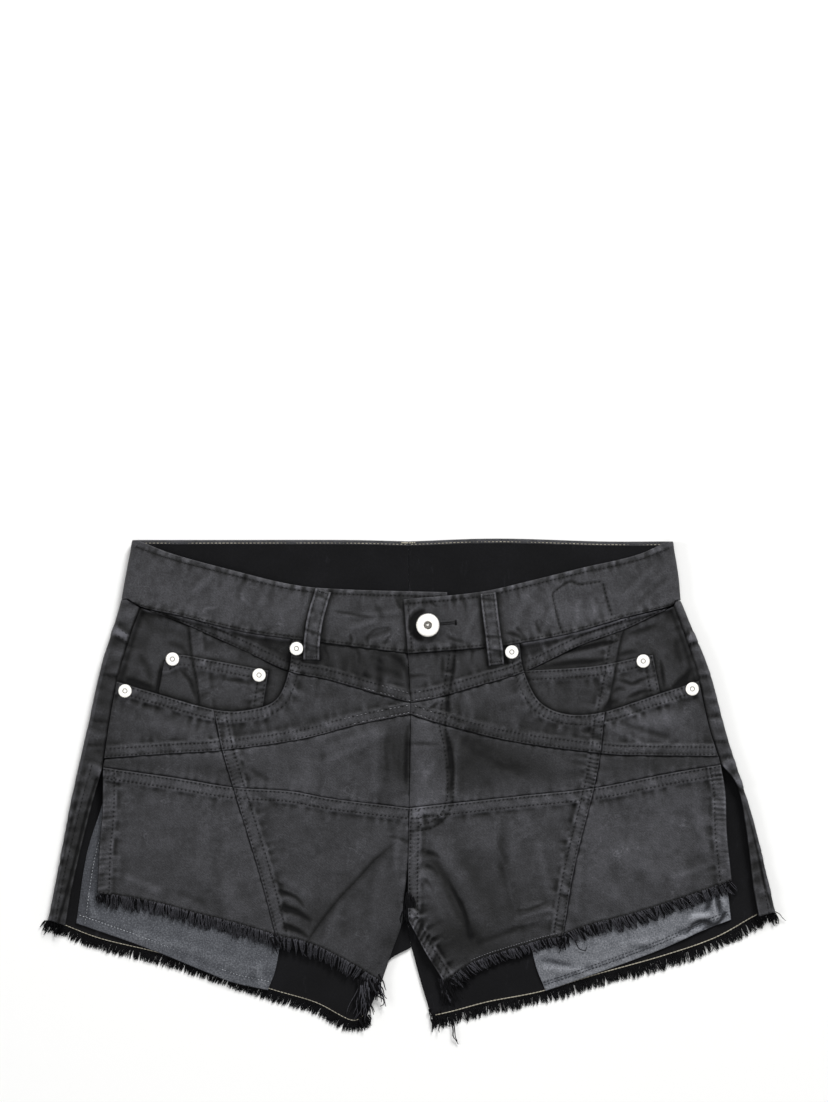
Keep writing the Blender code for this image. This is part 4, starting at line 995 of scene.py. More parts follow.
def front_panel(node, side, edges, sewing, tucks, by_fly=False, hem=None, shade_lines=(), tone_shift=0.0):
    """One panel of the front: by the fly, the right one tucks under and the left one has the fly's rows."""
    bands = front_bands(side)
    rows = [bands[name] for name in sewing if name in bands]
    tucks, shade_lines = list(tucks), list(shade_lines)
    on_fly = by_fly and side == "L"
    if on_fly:
        rows.append(Sewn(FLY_TOPSTITCH, 0.0, (-2.0, 2.0), 0.0, 0.8))
    elif by_fly:
        tucks.append(seam("centre_front", side))
    # Painted shade along the hem's cut edge and beside the fly's stitching.
    if hem:
        rows.append(Sewn(seam(hem, side), 0.0, (0.9,), 0.0, 0.3))
        shade_lines.append((seam(hem, side), 1.1, 0.9))
    if on_fly:
        shade_lines.append((FLY_TOPSTITCH, 2.2, 0.5))
    return cloth_panel(node, side, edges, rows, tucks, extra=fly_thickness if on_fly else None,
                       shade_lines=shade_lines, tone_shift=tone_shift)


def front_panels(side):
    waist, yoke, hip = seam("waist_seam", side), seam("yoke_seam", side), seam("hip_seam", side)
    leg, princess, mouth = seam("leg_seam", side), seam("princess", side), seam("pocket_mouth", side)
    centre, side_line = seam("centre_front", side), seam("side_seam", side)
    corner, turn = CROSSINGS["yoke", side], CROSSINGS["mouth", side]
    hip_cross, leg_cross = CROSSINGS["hip", side], CROSSINGS["leg", side]
    inner_yoke = yoke.part(corner, yoke(1.0))
    # The yoke has painted shade under the waistband and beside the belt loops.
    front_panel("yoke", side, (
        waist.part(mouth(1.0), waist(1.0)), inner_yoke,
        mouth.part(mouth(1.0), corner), centre.part(centre(0.0), yoke(1.0)),
    ), ("yoke", "mouth"), [waist], True, shade_lines=[(waist, 2.2, 0.7), *beside_loop(side)])
    front_panel("upper", side, (
        joined(mouth.part(turn, corner), inner_yoke), hip.part(hip_cross, hip(1.0)),
        princess.part(princess(0.0), hip_cross), centre.part(yoke(1.0), hip(1.0)),
    ), ("hip", "mouth", "princess"), [inner_yoke], True)
    front_panel("hip", side, (
        mouth.part(mouth(0.0), turn), hip.part(hip(0.0), hip_cross),
        side_line.part(mouth(0.0), hip(0.0)), princess.part(princess(0.0), hip_cross),
    ), ("mouth", "hip"), [princess])
    front_panel("wedge_out", side, (
        hip.part(hip(0.0), hip_cross), leg.part(leg(0.0), leg_cross),
        straight(hip(0.0), leg(0.0)), princess.part(hip_cross, leg_cross),
    ), (), [hip, leg, princess], tone_shift=-0.15)
    front_panel("wedge_in", side, (
        hip.part(hip_cross, hip(1.0)), leg.part(leg_cross, leg(1.0)),
        princess.part(hip_cross, leg_cross), centre.part(hip(1.0), leg(1.0)),
    ), ("princess",), [hip, leg], True)
    front_panel("leg_out", side, (
        leg.part(leg(0.0), leg_cross), seam("front_hem_outer", side),
        seam("front_vent", side), princess.part(leg_cross, princess(1.0)),
    ), ("leg", "vent"), [princess], hem="front_hem_outer")
    height = front_panel("leg_in", side, (
        leg.part(leg_cross, leg(1.0)), seam("front_hem_inner", side), princess.part(leg_cross, princess(1.0)),
        joined(centre.part(leg(1.0), centre(1.0)), seam("front_inseam", side)),
    ), ("leg", "princess", "centre", "inseam"), [], True, "front_hem_inner")
    if side == "L":
        pale = stitch_row(seam("front_hem_inner", side), HEM_ROW_OFFSET, height, start=0.04, end=0.74,
                          pitch=1.9, length=1.5, radius=0.17, sunk=0.0)
        joined_mesh("leg_in_L_pale_stitches", (RUBBED_THREAD, pale))


def facing_depth(x, y, side):
    """How far the pocket facing lies under the front: least at the seams that hold it."""
    nearest = np.full(np.shape(x), np.inf)
    for name in ("waist_seam", "side_seam"):
        nearest = np.minimum(nearest, np.abs(seam(name, side).measure(x, y)[1]))
    shallow, deep = FACING_DEPTH
    return shallow * smooth_step(nearest / 3.0) + (deep - shallow) * smooth_step(nearest / FACING_SLOPE)


def pockets(side):
    """The facing seen in the pocket mouth, in two cuts, and the coin pocket on it."""
    outward = OUTWARD[side]
    yoke, waist, mouth = seam("yoke_seam", side), seam("waist_seam", side), seam("pocket_mouth", side)
    side_line = seam("side_seam", side)
    side_top = side_line(0.0)
    tuck = np.array([-outward * UNDERLAP, 0.0])
    slant = yoke.part(yoke(0.0), np.array(CROSSINGS["yoke", side]) + tuck)
    top = waist.part(slant(0.0) + np.array([outward * 2.0, 2.0]), mouth(1.0) + tuck)
    low = Line(mouth.points[mouth.at < MOUTH_TURN] + np.array([-outward, -UNDERLAP]), smooth=0)
    low_start = low(0.0) - np.array([outward * 1.5, 0.0])
    low_end = low(1.0) + tuck
    bottom = joined(straight(low_start, low(0.0)), low, straight(low(1.0), low_end))
    above = joined(straight(side_top, slant(0.0)), slant)
    inside_princess = PRINCESS_IN_POCKET[side]

    def level(x, y):
        return front_level(x, y) - facing_depth(x, y, side)

    slant_band = felled(slant, 7.6, rows=(1.3, 6.2), rise=0.45, rope=1.0)
    coin_top, coin_bottom = seam("coin_top", side), seam("coin_bottom", side)
    # Painted shade along the coin pocket's edges, under the pocket mouth's edge and along the princess seam.
    coin_edges = [(coin_top, 1.1, 1.3), (straight(coin_top(0.0), coin_bottom(0.0)), 1.1, 2.2),
                  (straight(coin_top(1.0), coin_bottom(1.0)), 1.5, 2.2)]
    under_mouth = (mouth, 1.5, 2.7)
    princess_line = (inside_princess, 0.7, 2.2)
    # On the right, the upper facing's lower tone and its line along the waist seam are painted shade under
    # the waistband.
    cloth_panel("facing_top", side, (top, slant, straight(top(0.0), slant(0.0)),
                straight(top(1.0), slant(1.0))), [slant_band], [waist], FACING, level,
                tone_shift=-0.15 if side == "R" else 0.15,
                shade_lines=[under_mouth, (waist, 1.4, 0.3 if side == "R" else 0.0)])
    princess_rows = () if side == "R" else (6.8,)
    princess_band = felled(inside_princess, 8.4, rows=princess_rows, rise=0.45, rope=PRINCESS_ROPE[side])
    toothed = [Sewn(Line(TOOTHED_EDGE), 0.0, (0.0,), 0.0, 0.5)] if side == "L" else []
    side_edge = side_line.part(side_top, mouth(0.0))
    side_edge = joined(side_edge, straight(side_edge(1.0), low_start))
    # The facing's lower tone and its lines along the seams are painted shade inside the pocket mouth.
    cloth_panel("facing", side, (above, bottom, side_edge,
                straight(slant(1.0), low_end)), [princess_band, *toothed], [slant, side_line], FACING, level,
                tone_shift=-0.22,
                shade_lines=[*coin_edges, under_mouth, princess_line, (slant, 1.5, 1.4), (side_line, 1.4, 2.0)])

    inner = straight(coin_top(1.0), coin_bottom(1.0))
    outer = straight(coin_top(0.0), coin_bottom(0.0))
    edge_rows = (1.3, 6.4)

    def coin_level(x, y):
        return front_level(x, y) - COIN_DEPTH

    cloth_panel("coin_pocket", side, (coin_top, coin_bottom, outer, inner),
                [felled(coin_top, rows=edge_rows, rise=0.40),
                 felled(inner if side == "R" else outer, rows=edge_rows, rise=0.40),
                 felled(inside_princess, 8.4, rows=princess_rows, rise=0.30, rope=PRINCESS_ROPE[side])],
                [], FACING, coin_level, shade_lines=[under_mouth, princess_line],
                tone_shift=-0.08)


def pocket_bag(side):
    """The chambray bag between the front and the back: its lower part shows under the front's hem."""
    outer, inner, hem = seam("bag_outer", side), seam("bag_inner", side), seam("bag_hem", side)
    top = straight(outer(0.0), inner(0.0))
    free = seam("front_hem_outer", side)

    def crumple(x, y):
        _, away = beside(free, (0.0, 60.0), x, y)
        clear = smooth_step((3.0 - away) / 6.0)
        return (clear * (laid(BAG_CREASES, x, y) + dented(x, y, CHAMBRAY_DENTS)[0])
                + 0.16 * noise(x / 9.0, y / 7.0, 31) * clear + 0.05 * noise(x / 3.0, y / 3.0, 32))

    offset = 6.2
    sewing = [Sewn(hem, 0.0, (offset,) if side == "R" else (offset, offset - 2.0), 0.0, 0.7),
              Sewn(outer, 0.0, (offset,), 0.0, 0.6)]
    # The line along the front's free hem is the front's painted shadow on the bag.
    cloth_panel("bag", side, (top, hem, outer, inner), sewing, [], BAG, flat_at(BAG_LEVEL + BAG), crumple,
                finishes=(CHAMBRAY,), slot="chambray", step=BAG_STEP,
                thread=PALE_THREAD if side == "R" else BAG_THREAD, tone_shift=BAG_TONE[side],
                shade_lines=[(free, 9.0, 0.5)], dash=(2.3, 1.9, 0.24) if side == "R" else (2.5, 2.2, 0.42))


# ---------------------------------------------------------------- pieces that wrap round the side

def turn_points(base, front, radius, outward, angles):
    """Half a round turn from the underside up onto the front, a row of points for each height."""
    x = base[:, None, 0] + outward * radius[:, None] * np.cos(angles)
    y = base[:, None, 1] + (front[:, None, 1] - base[:, None, 1]) * (0.5 + angles / math.pi)
    z = radius[:, None] + radius[:, None] * np.sin(angles)
    return np.stack([x, y, z], axis=-1)


def turn_angles(count):
    """The angles of a round turn, without its two ends."""
    return np.linspace(-math.pi / 2, math.pi / 2, count + 2)[1:-1]


def outward_normals(grid, outward):
    down, along = np.gradient(grid, axis=0), np.gradient(grid, axis=1)
    normal = outward * np.cross(along, down)
    return normal / np.maximum(np.linalg.norm(normal, axis=-1, keepdims=True), 1e-9)


def wrapped_piece(node, side, grid, relief, inner_relief, wall, tone, raw_turn):
    """A closed wall from a grid of outer points that turns round the folded side."""
    normal = outward_normals(grid, OUTWARD[side])
    normal[grid[..., 2] < 0.001] = (0.0, 0.0, -1.0)
    fall = edge_fall(grid, *WRAPPED_EDGE)
    outer = grid + normal * (relief - fall)[..., None]
    outer[..., 2] = np.maximum(outer[..., 2], 0.0)
    inner = grid - normal * (wall - 0.6 * fall - inner_relief)[..., None]
    inner[..., 2] = np.maximum(inner[..., 2], 0.5)
    piece = shell(f"{node}_{side}_cloth", outer, inner, side == "R", (COATED, RAW_INSIDE), tone, raw_turn)
    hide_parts(f"{node}_{side}")
    return piece


def wrapped_bumps(grid, flat_count, turn_count, front):
    """The front's relief over the whole grid: it dies away round the folded side."""
    bumps = np.zeros(grid.shape[:2])
    bumps[:, flat_count + turn_count:] = front
    blend = smooth_step(np.arange(turn_count + 1) / turn_count)[:-1]
    bumps[:, flat_count:flat_count + turn_count] = front[:, [0]] * blend
    return bumps


def band_height(x, y, side):
    """The waistband's outer surface: its left end laps over the right one at the centre front."""
    lap = 1.0 - smooth_step((x - LAP_START_X) / (LAP_END_X - LAP_START_X))
    if side == "L":
        return loft(y) + BAND_PROUD + LAP_RISE * lap
    return loft(y) + BAND_PROUD - LAP_SINK * smooth_step((x + 30.0) / 24.0)


def back_waist(side):
    return straight((CENTRE_BACK_X, BACK_WAIST_Y), seam("outline", side)(0.0))


def band_under(side):
    """The waistband's lower edge on the front: the right end goes on under the left one."""
    waist = seam("waist_seam", side)
    if side == "L":
        return waist
    end_x = seam("front_waist_edge", side)(1.0)[0]
    return Line(np.vstack([waist.points, [[end_x, 95.0]]]), smooth=0)


def band_grid(side):
    """The waistband's points, and those of its front in plan."""
    outward = OUTWARD[side]
    back_edge, front_edge = seam("back_waist_edge", side), seam("front_waist_edge", side)
    side_line, under, seat = seam("band_side", side), band_under(side), back_waist(side)
    gap = np.array([0.0, SEAM_GAP])
    t, u = stations(side_line.length, GRID), stations(back_edge.length, BAND_BACK_STEP)
    turn = side_line(t) + gap * t[:, None]
    radius = (loft(turn[:, 1]) + BAND_PROUD) / 2
    base = turn - np.stack([outward * radius, np.zeros_like(t)], axis=-1)
    mix = t[:, None, None]
    behind = back_edge(1.0 - u)[None] * (1 - mix) + (seat(u)[None] + gap) * mix
    behind = behind + (base - behind[:, -1])[:, None] * (u ** 3)[None, :, None]
    behind[:, 0, 0] += outward * SEAM_GAP / 2
    v = stations(front_edge.length, GRID)
    line = front_edge(v)[None] * (1 - mix) + (under(v)[None] + gap) * mix
    line[..., 0] += (base[:, 0] - line[:, 0, 0])[:, None] * ((1.0 - v) ** 6)[None]
    line[:, 0, 1] = turn[:, 1]
    front = np.dstack([line, band_height(line[..., 0], line[..., 1], side)])
    turned = turn_points(base, line[:, 0], radius, outward, turn_angles(BAND_TURN))
    flat = np.dstack([behind, np.zeros(behind.shape[:2])])
    return np.concatenate([flat, turned, front], axis=1), line, t, u


def band_sewing(side):
    front_edge, under = seam("front_waist_edge", side), band_under(side)
    sewing = [Sewn(front_edge, 0.0, (BAND_ROWS[0],), 0.0, 1.2), Sewn(under, 0.0, (BAND_ROWS[1],), 0.0, 1.2)]
    if side == "L":
        sewing.append(Sewn(straight(front_edge(1.0), under(1.0)), 0.0, (3.0,), 0.0, 0.8))
        sewing += [Sewn(edge, 0.0, (0.0,), 0.0, 0.4) for edge in PATCH_OUTLINE]
    return sewing


def band_back_relief(bumps, inner_bumps, along, down, height):
    """Two rows sewn through the back of the band, and the puckers on both of its faces."""
    for at in (BAND_ROWS[0], height - BAND_ROWS[1]):
        bumps -= 0.25 * np.exp(-((down - at) / 0.7) ** 2)
    bumps -= 0.12 * (1.0 + noise(along / 4.0, down / 9.0, 977))
    inner_bumps += (0.20 * noise(along / 16.0, down / 12.0, 981)
                    - 0.20 * np.exp(-((down - INSIDE_ROW) / 0.6) ** 2)
                    + 0.10 * noise(along / 3.2, down / 9.0, 982) * np.exp(-np.abs(down - INSIDE_ROW) / 4.0))


def waistband(side):
    """Double cloth from the centre back round the side to the centre front."""
    middle = (OUTWARD[side] * 100.0, 130.0)
    back_edge, front_edge = seam("back_waist_edge", side), seam("front_waist_edge", side)
    height, under, sewing = seam("band_side", side).length, band_under(side), band_sewing(side)
    grid, line, t, u = band_grid(side)
    x, y = line[..., 0], line[..., 1]

    def relief(px, py):
        total = laid(CREASES, px, py) + unevenness(px, py) + dented(px, py, WAISTBAND_DENTS)[0]
        for k, sewn in enumerate(sewing):
            along, away = beside(sewn.line, middle, px, py)
            total = total + sewn_relief(sewn, along, away, 900 + 13 * k + 300 * SIDES[side])
        for k, (edge, width) in enumerate(((front_edge, 3.4), (under, 2.2))):
            along, away = beside(edge, middle, px, py)
            pucker = noise(along / 2.6, away / 14.0, 950 + k + 300 * SIDES[side])
            total = total + 0.50 * pucker * np.exp(-np.abs(away - 0.5 * width) / (1.8 * width))
            total = total + 0.22 * (1.0 - smooth_step((away - width) / 1.4))
        return total

    def surface(px, py):
        return band_height(px, py, side) + relief(px, py)

    bumps = wrapped_bumps(grid, len(u), BAND_TURN, relief(x, y))
    inner_bumps = np.zeros(grid.shape[:2])
    along = np.broadcast_to(u[None] * back_edge.length, (len(t), len(u)))
    band_back_relief(bumps[:, :len(u)], inner_bumps[:, :len(u)], along, t[:, None] * height, height)
    tone = wear_and_painted_shade(bumps)
    front = tone[:, len(u) + BAND_TURN:]
    front += patch_tone_and_shade(x, y)
    for sewn in sewing:
        front += row_shading(sewn, *beside(sewn.line, middle, x, y))
    # Painted shade in the grooves of the waistband's rows.
    for edge, row in ((front_edge, BAND_ROWS[0]), (under, BAND_ROWS[1])):
        _, away = beside(edge, middle, x, y)
        front -= 0.35 * np.exp(-((away - row) / 0.9) ** 2)
    # Painted shade beside the belt loops and along the lower seam; on the right, the painted shadow of the
    # left end that laps over it.
    shaded = [*beside_loop(side), (under, 0.9, 0.5)]
    if side == "R":
        lap_edge = straight(seam("front_waist_edge", "L")(1.0), seam("centre_front", "L")(0.0))
        shaded.append((lap_edge, 1.6, 1.2))
    front -= painted_line_shade(shaded, x, y)
    front -= dented(x, y, WAISTBAND_DENTS)[1]
    piece = wrapped_piece("waistband", side, grid, bumps, inner_bumps, WAISTBAND, tone, 5)

    rows, outline = [], boundary(line)
    for sewn in sewing:
        for row in sewn.rows:
            rows += stitch_row(sewn.line, side_of(sewn.line, middle) * row, surface, outline, 0.02)
    stitches = joined_mesh(f"waistband_{side}_stitches", (BLACK_THREAD, rows))
    sign, on_band = side_of(back_edge, (0.0, 150.0)), flat_at(WAISTBAND + 0.12)
    inside = stitch_row(back_edge, sign * INSIDE_ROW, on_band, start=0.015, end=0.995, pitch=2.7, length=2.35,
                        radius=0.24, sunk=0.0)
    inside += stitch_row(back_edge, sign * INSIDE_ROW / 2, on_band, start=0.974, end=0.999, pitch=1.2,
                         length=1.1, radius=0.5, sunk=0.0)
    pale = joined_mesh(f"waistband_{side}_inside_stitches", (BEIGE_THREAD, inside))
    return surface


def back_grid(side):
    """The back's points, and in plan those of the sheet underneath and of the strip in front."""
    outward = OUTWARD[side]
    outline, hem, seat = seam("outline", side), seam("back_hem", side), back_waist(side)
    edge = joined(seam("side_seam", side), seam("back_vent", side))
    centre = straight((CENTRE_BACK_X, BACK_WAIST_Y), (CENTRE_BACK_X, CROTCH_Y + 12.0))
    inner_line = Line(np.vstack([centre.points, seam("back_inseam", side).points]), smooth=0)
    t, u = stations(outline.length, BACK_ROW_STEP), stations(hem.length, BACK_STEP)
    turn = outline(t)
    radius = loft(turn[:, 1]) / 2
    base = turn - np.stack([outward * radius, np.zeros_like(t)], axis=-1)
    mix, s = t[:, None, None], u[None, :, None]
    first, last = inner_line(t)[:, None], turn[:, None]
    flat = ((1 - s) * (1 - mix) * seat(0.0) + s * (1 - mix) * seat(1.0)
            + (1 - s) * mix * hem(1.0) + s * mix * hem(0.0))
    sheet = (1 - mix) * seat(u)[None] + mix * hem(1.0 - u)[None] + (1 - s) * first + s * last - flat
    sheet = sheet - (outward * radius[:, None] * u[None] ** 3)[..., None] * np.array([1.0, 0.0])
    sheet[:, -1] = base
    sheet[:, 0, 0] += outward * SEAM_GAP / 2
    end = edge(t) + np.array([outward * SEAM_GAP, 0.0])
    least = base[:, 0] - outward * 0.8
    end[:, 0] = outward * np.minimum(outward * end[:, 0], outward * least)
    v = stations(BACK_STRIP_WIDTH, GRID)
    strip = base[:, None] + (end - base)[:, None] * v[None, :, None]
    turned = turn_points(base, strip[:, 0], radius, outward, turn_angles(BACK_TURN))
    grid = np.concatenate([np.dstack([sheet, np.zeros(sheet.shape[:2])]), turned,
                           np.dstack([strip, loft(strip[..., 1])])], axis=1)
    return grid, sheet, strip


def back_strip(side):
    """The relief and the shade of the stretch of the back that comes round to the front."""
    vent, fold = seam("back_vent", side), Line(BACK_HEM_FOLD[side])
    vent_band = felled(vent, VENT_HEM_WIDTH, rows=(VENT_ROW,), rise=0.55, rope=1.5, pitch=3.6)
    low = seam("outline", side)(0.8)

    def above(x, y, level_y, slope):
        return (y - level_y) - slope * (np.abs(x) - CROSSING_X)

    def relief(x, y):
        total = unevenness(x, y)
        along, away = beside(vent, low, x, y)
        total = total + np.where(along > 0.01, sewn_relief(vent_band, along, away, 1201), 0.0)
        for level_y, slope, width in SIDE_CROSSINGS[side]:
            rise = above(x, y, level_y, slope)
            total = total - 0.45 * np.exp(-(rise / 0.8) ** 2)
            if width:
                on = smooth_step(rise / 0.8) * (1.0 - smooth_step((rise - width) / 1.2))
                ribs = np.abs(np.sin(np.pi * x / STITCH_PITCH)) - 0.6
                total = total + on * (0.5 + 0.2 * ribs)
        side_away = np.abs(seam("side_seam", side).measure(x, y)[1])
        total = total - 0.6 * (1.0 - smooth_step(side_away / 2.0)) * (y > 10.0)
        total = total + 0.30 * noise(x / 9.0, y / 3.4, 1207)
        _, off = beside(fold, low, x, y)
        return total - 0.7 * np.exp(-(off / 0.9) ** 2) * (along > 8.0)

    def shade(x, y):
        # Painted shade along the side seam, along the vent hem's fold, on each crossing seam and under the
        # edge of each sewn band, which itself is paler.
        total = painted_line_shade([(seam("side_seam", side), 1.1, 1.8)], x, y)
        total = total + (y < 5.0) * painted_line_shade([(fold, 0.8, 0.9)], x, y)
        for level_y, slope, width in SIDE_CROSSINGS[side]:
            rise = above(x, y, level_y, slope)
            total = total + 0.9 * np.exp(-(rise / 0.9) ** 2)
            if width:
                on = smooth_step(rise / 0.8) * (1.0 - smooth_step((rise - width + 1.0) / 1.0))
                total = total + 1.9 * np.exp(-((rise - width - 0.6) / 1.3) ** 2)
                total = total - 0.35 * on
        return total

    return relief, shade


def back_sheet_relief(side, sheet):
    """What the seams and the rows of the back take from its outer face, which rests on the surface."""
    x, y = sheet[..., 0], sheet[..., 1]
    hem, total = seam("back_hem", side), np.zeros(sheet.shape[:2])
    for line, rows_at in ((back_yoke(side), (1.4, 6.8)), (hem, (1.6,))):
        _, away = beside(line, (OUTWARD[side] * 120.0, 250.0), x, y)
        total -= 0.45 * np.exp(-(away / 0.9) ** 2) * (line is not hem)
        for row in rows_at:
            total -= 0.25 * np.exp(-((away - row) / 0.9) ** 2)
    for row in (1.6, 7.0):
        total -= 0.25 * np.exp(-((np.abs(x - CENTRE_BACK_X) - row) / 0.9) ** 2)
    return total - 0.08 * (1.0 + noise(x / 5.0, y / 7.0, 1210))


def back_panel(side):
    """One half of the back, from the centre back seam round the side to the side seam and vent hem."""
    outward = OUTWARD[side]
    hem, vent = seam("back_hem", side), seam("back_vent", side)
    grid, sheet, strip = back_grid(side)
    relief, shade = back_strip(side)
    x, y, flat_count = strip[..., 0], strip[..., 1], sheet.shape[1]
    bumps = wrapped_bumps(grid, flat_count, BACK_TURN, relief(x, y))
    bumps[:, :flat_count] = back_sheet_relief(side, sheet)
    inner_bumps = np.zeros(grid.shape[:2])
    flat_x, flat_y = sheet[..., 0], sheet[..., 1]
    inner_bumps[:, :flat_count] = (0.16 * noise(flat_x / 15.0, flat_y / 12.0, 1211)
                                   + 0.05 * noise(flat_x / 4.0, flat_y / 4.0, 1212))
    tone = wear_and_painted_shade(bumps)
    tone[:, flat_count + BACK_TURN:] += patch_tone_and_shade(x, y)
    tone[:, flat_count + BACK_TURN:] -= shade(x, y)
    piece = wrapped_piece("back", side, grid, bumps, inner_bumps, CLOTH, tone, 0)

    def surface(px, py):
        return loft(py) + relief(px, py)

    outline = boundary(strip)
    rows = stitch_row(vent, outward * VENT_ROW, surface, outline)
    for level_y, slope, width in SIDE_CROSSINGS[side]:
        for row in ((1.4, width - 1.6) if width else ()):
            line = straight((outward * (CROSSING_X - 15.0), level_y + row - slope * 15.0),
                            (outward * (CROSSING_X + 27.0), level_y + row + slope * 27.0))
            rows += stitch_row(line, 0.0, surface, outline)
    stitches = joined_mesh(f"back_{side}_stitches", (BLACK_THREAD, rows))
    chain = stitch_row(hem, side_of(hem, (outward * 120.0, 0.0)) * 1.1, flat_at(CLOTH + 0.22), start=0.05,
                       end=0.995, pitch=2.5, length=2.75, radius=CHAIN_RADIUS[side], sunk=0.0)
    pale = joined_mesh(f"back_{side}_hem_stitches", (BEIGE_THREAD, chain))


# ---------------------------------------------------------------- frayed hems

def strands(start, tip, bow, level, fall, lowest, radius):
    """Paths and radii of loose yarns from start to tip, bent aside by bow in the middle."""
    share = np.linspace(0.0, 1.0, 5)
    run = tip - start
    side = np.stack([-run[:, 1], run[:, 0]], axis=1)
    plan = (start[:, None] + run[:, None] * share[None, :, None]
            + side[:, None] * (bow[:, None] * share * (1.0 - share))[..., None])
    z = level[:, None] - fall[:, None] * smooth_step(share * 1.3)
    return np.dstack([plan, np.maximum(z, lowest)]), radius[:, None] * YARN_TAPER


def tangle(spot, draw, lowest):
    """Paths and radii of the thick curled yarns of a tuft."""
    number = spot.count
    direction = np.array([spot.run_x, spot.run_y], float)
    direction /= np.linalg.norm(direction)
    cross = np.array([-direction[1], direction[0]])
    begin = np.array([spot.x, spot.y]) + draw.normal(0.0, spot.spread, (number, 2))
    share = np.linspace(0.0, 1.0, 10)
    reach = (spot.reach * draw.uniform(0.35, 1.0, number))[:, None]
    turns = math.tau * (draw.uniform(0.4, 1.0, number)[:, None] * reach / CURL_LENGTH * share
                        + draw.uniform(0.0, 1.0, number)[:, None])
    curl = draw.uniform(0.4, 1.3, number)[:, None] * np.sin(turns) * np.sqrt(share)
    wander = draw.normal(0.0, 0.16, number)[:, None] * share * reach
    plan = begin[:, None] + direction * (reach * share)[..., None] + cross * (curl + wander)[..., None]
    z = (spot.z + draw.uniform(-0.8, 0.4, number)[:, None] + 0.35 * np.cos(turns)
         - spot.fall * draw.uniform(0.4, 1.0, number)[:, None] * smooth_step(share * 1.3))
    taper = np.sqrt(np.clip(1.12 - share, 0.0, 1.0))
    return np.dstack([plan, np.maximum(z, lowest)]), draw.uniform(0.42, 0.68, number)[:, None] * taper


def down_from(hem, u):
    """Unit steps along a hem, and square to it away from the garment."""
    ahead, left = heading(hem, u, 0.006)
    return ahead, -left * np.where(left[:, 1] < 0, -1.0, 1.0)[:, None]


def weft_yarn(hem, level, number, lowest, seed):
    """One of the yarns that run on along a cut edge."""
    u = np.linspace(0.004, 0.996, int(hem.length / 1.6))
    line = hem(u)
    wave = WEFT_OFFSETS[number] + 0.35 * noise(u * hem.length / 3.0, u * 7.0, seed + 20 + number)
    height = np.maximum(level(line[:, 0], line[:, 1]) - 0.35 - 0.12 * number, lowest)
    path = np.concatenate([line + down_from(hem, u)[1] * wave[:, None], height[:, None]], axis=1)
    return tubes(path[None], np.full((1, len(u)), 0.34), 4)


def fringe(node, side, hem, level, seed):
    """Warp yarns left standing along a cut hem: they cling together in teeth, with a few loose hairs."""
    fray, draw = FRAYS[node, side], np.random.RandomState(seed)
    teeth = int(hem.length * fray.teeth)
    root = (np.arange(teeth) + 0.5 + draw.uniform(-0.3, 0.3, teeth)) / teeth
    at = root * hem.length
    grown = 0.88 + fray.ragged * (0.22 * noise(at / 6.0, at / 90.0, seed + 1)
                                  + draw.uniform(-0.18, 0.16, teeth))
    lean = (OUTWARD[side] * fray.lean + 0.22 * noise(at / 8.0, at / 60.0, seed + 3)
            + draw.normal(0.0, 0.14, teeth))
    tooth = np.repeat(np.arange(teeth), fray.yarns)
    count = len(tooth)
    u = np.clip(root[tooth] + draw.uniform(-0.6, 0.6, count) / teeth, 0.002, 0.998)
    here = hem(u)
    ahead, out = down_from(hem, u)
    length = fray.reach * grown[tooth] * draw.uniform(0.80, 1.06, count)
    gather = (root[tooth] - u) * hem.length * draw.uniform(0.15, fray.cling, count)
    loose = draw.uniform(0.0, 1.0, count) < LOOSE_SHARE
    gather = np.where(loose, draw.normal(0.0, 2.0, count), gather)
    tip = here + out * length[:, None] + ahead * (gather + lean[tooth] * length)[:, None]
    start = here - out * draw.uniform(0.2, 0.9, count)[:, None]
    z = level(here[:, 0], here[:, 1]) - draw.uniform(0.05, 0.6, count)
    radius = fray.radius * draw.uniform(0.7, 1.15, count) * np.where(loose, 0.6, 1.0)
    # Every third yarn is short, black and lies lower: raw black cotton, and a dark under-layer that stands
    # for the shadow under the teeth.
    short = np.arange(count) % 3 == 0
    tip = np.where(short[:, None], here + SHORT_YARN * (tip - here), tip)
    coated = (draw.uniform(0.0, 1.0, count) < fray.coated) & ~short & ~loose
    z = z + np.where(coated, 0.25, -0.25)
    paths, wide = strands(start, tip, draw.normal(0.0, 0.35, count), z,
                          fray.drop * draw.uniform(0.5, 1.1, count), fray.lowest, radius)
    black = [tubes(paths[~coated], wide[~coated], 3)]
    groups = [(FRAYED_YARN, black)]
    if coated.any():
        groups.append((COATED_YARN, [tubes(paths[coated], wide[coated], 3)]))
    black += [weft_yarn(hem, level, k, fray.lowest, seed) for k in range(len(WEFT_OFFSETS))]
    greyed = []
    for spot in TUFTS[node, side]:
        curls, thick = tangle(spot, draw, max(fray.lowest, TUFT_LOWEST))
        shown = int(len(thick) * 0.5 * fray.coated)
        greyed.append(tubes(curls[:shown], thick[:shown], 4))
        black.append(tubes(curls[shown:], thick[shown:], 4))
    if fray.coated > 0.0:
        groups.append((COATED_YARN, greyed))
    piece = joined_mesh(f"{node}_{side}_yarns", *groups)
    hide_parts(f"{node}_{side}")


def frayed_hems(side):
    fringe("fray_back", side, seam("back_hem", side), flat_at(CLOTH), 51 + SIDES[side])
    for place, name in (("out", "front_hem_outer"), ("in", "front_hem_inner")):
        hem = seam(name, side)
        fringe(f"fray_{place}", side, hem.part(hem(0.01), hem(0.985)), front_level, 71 + SIDES[side])


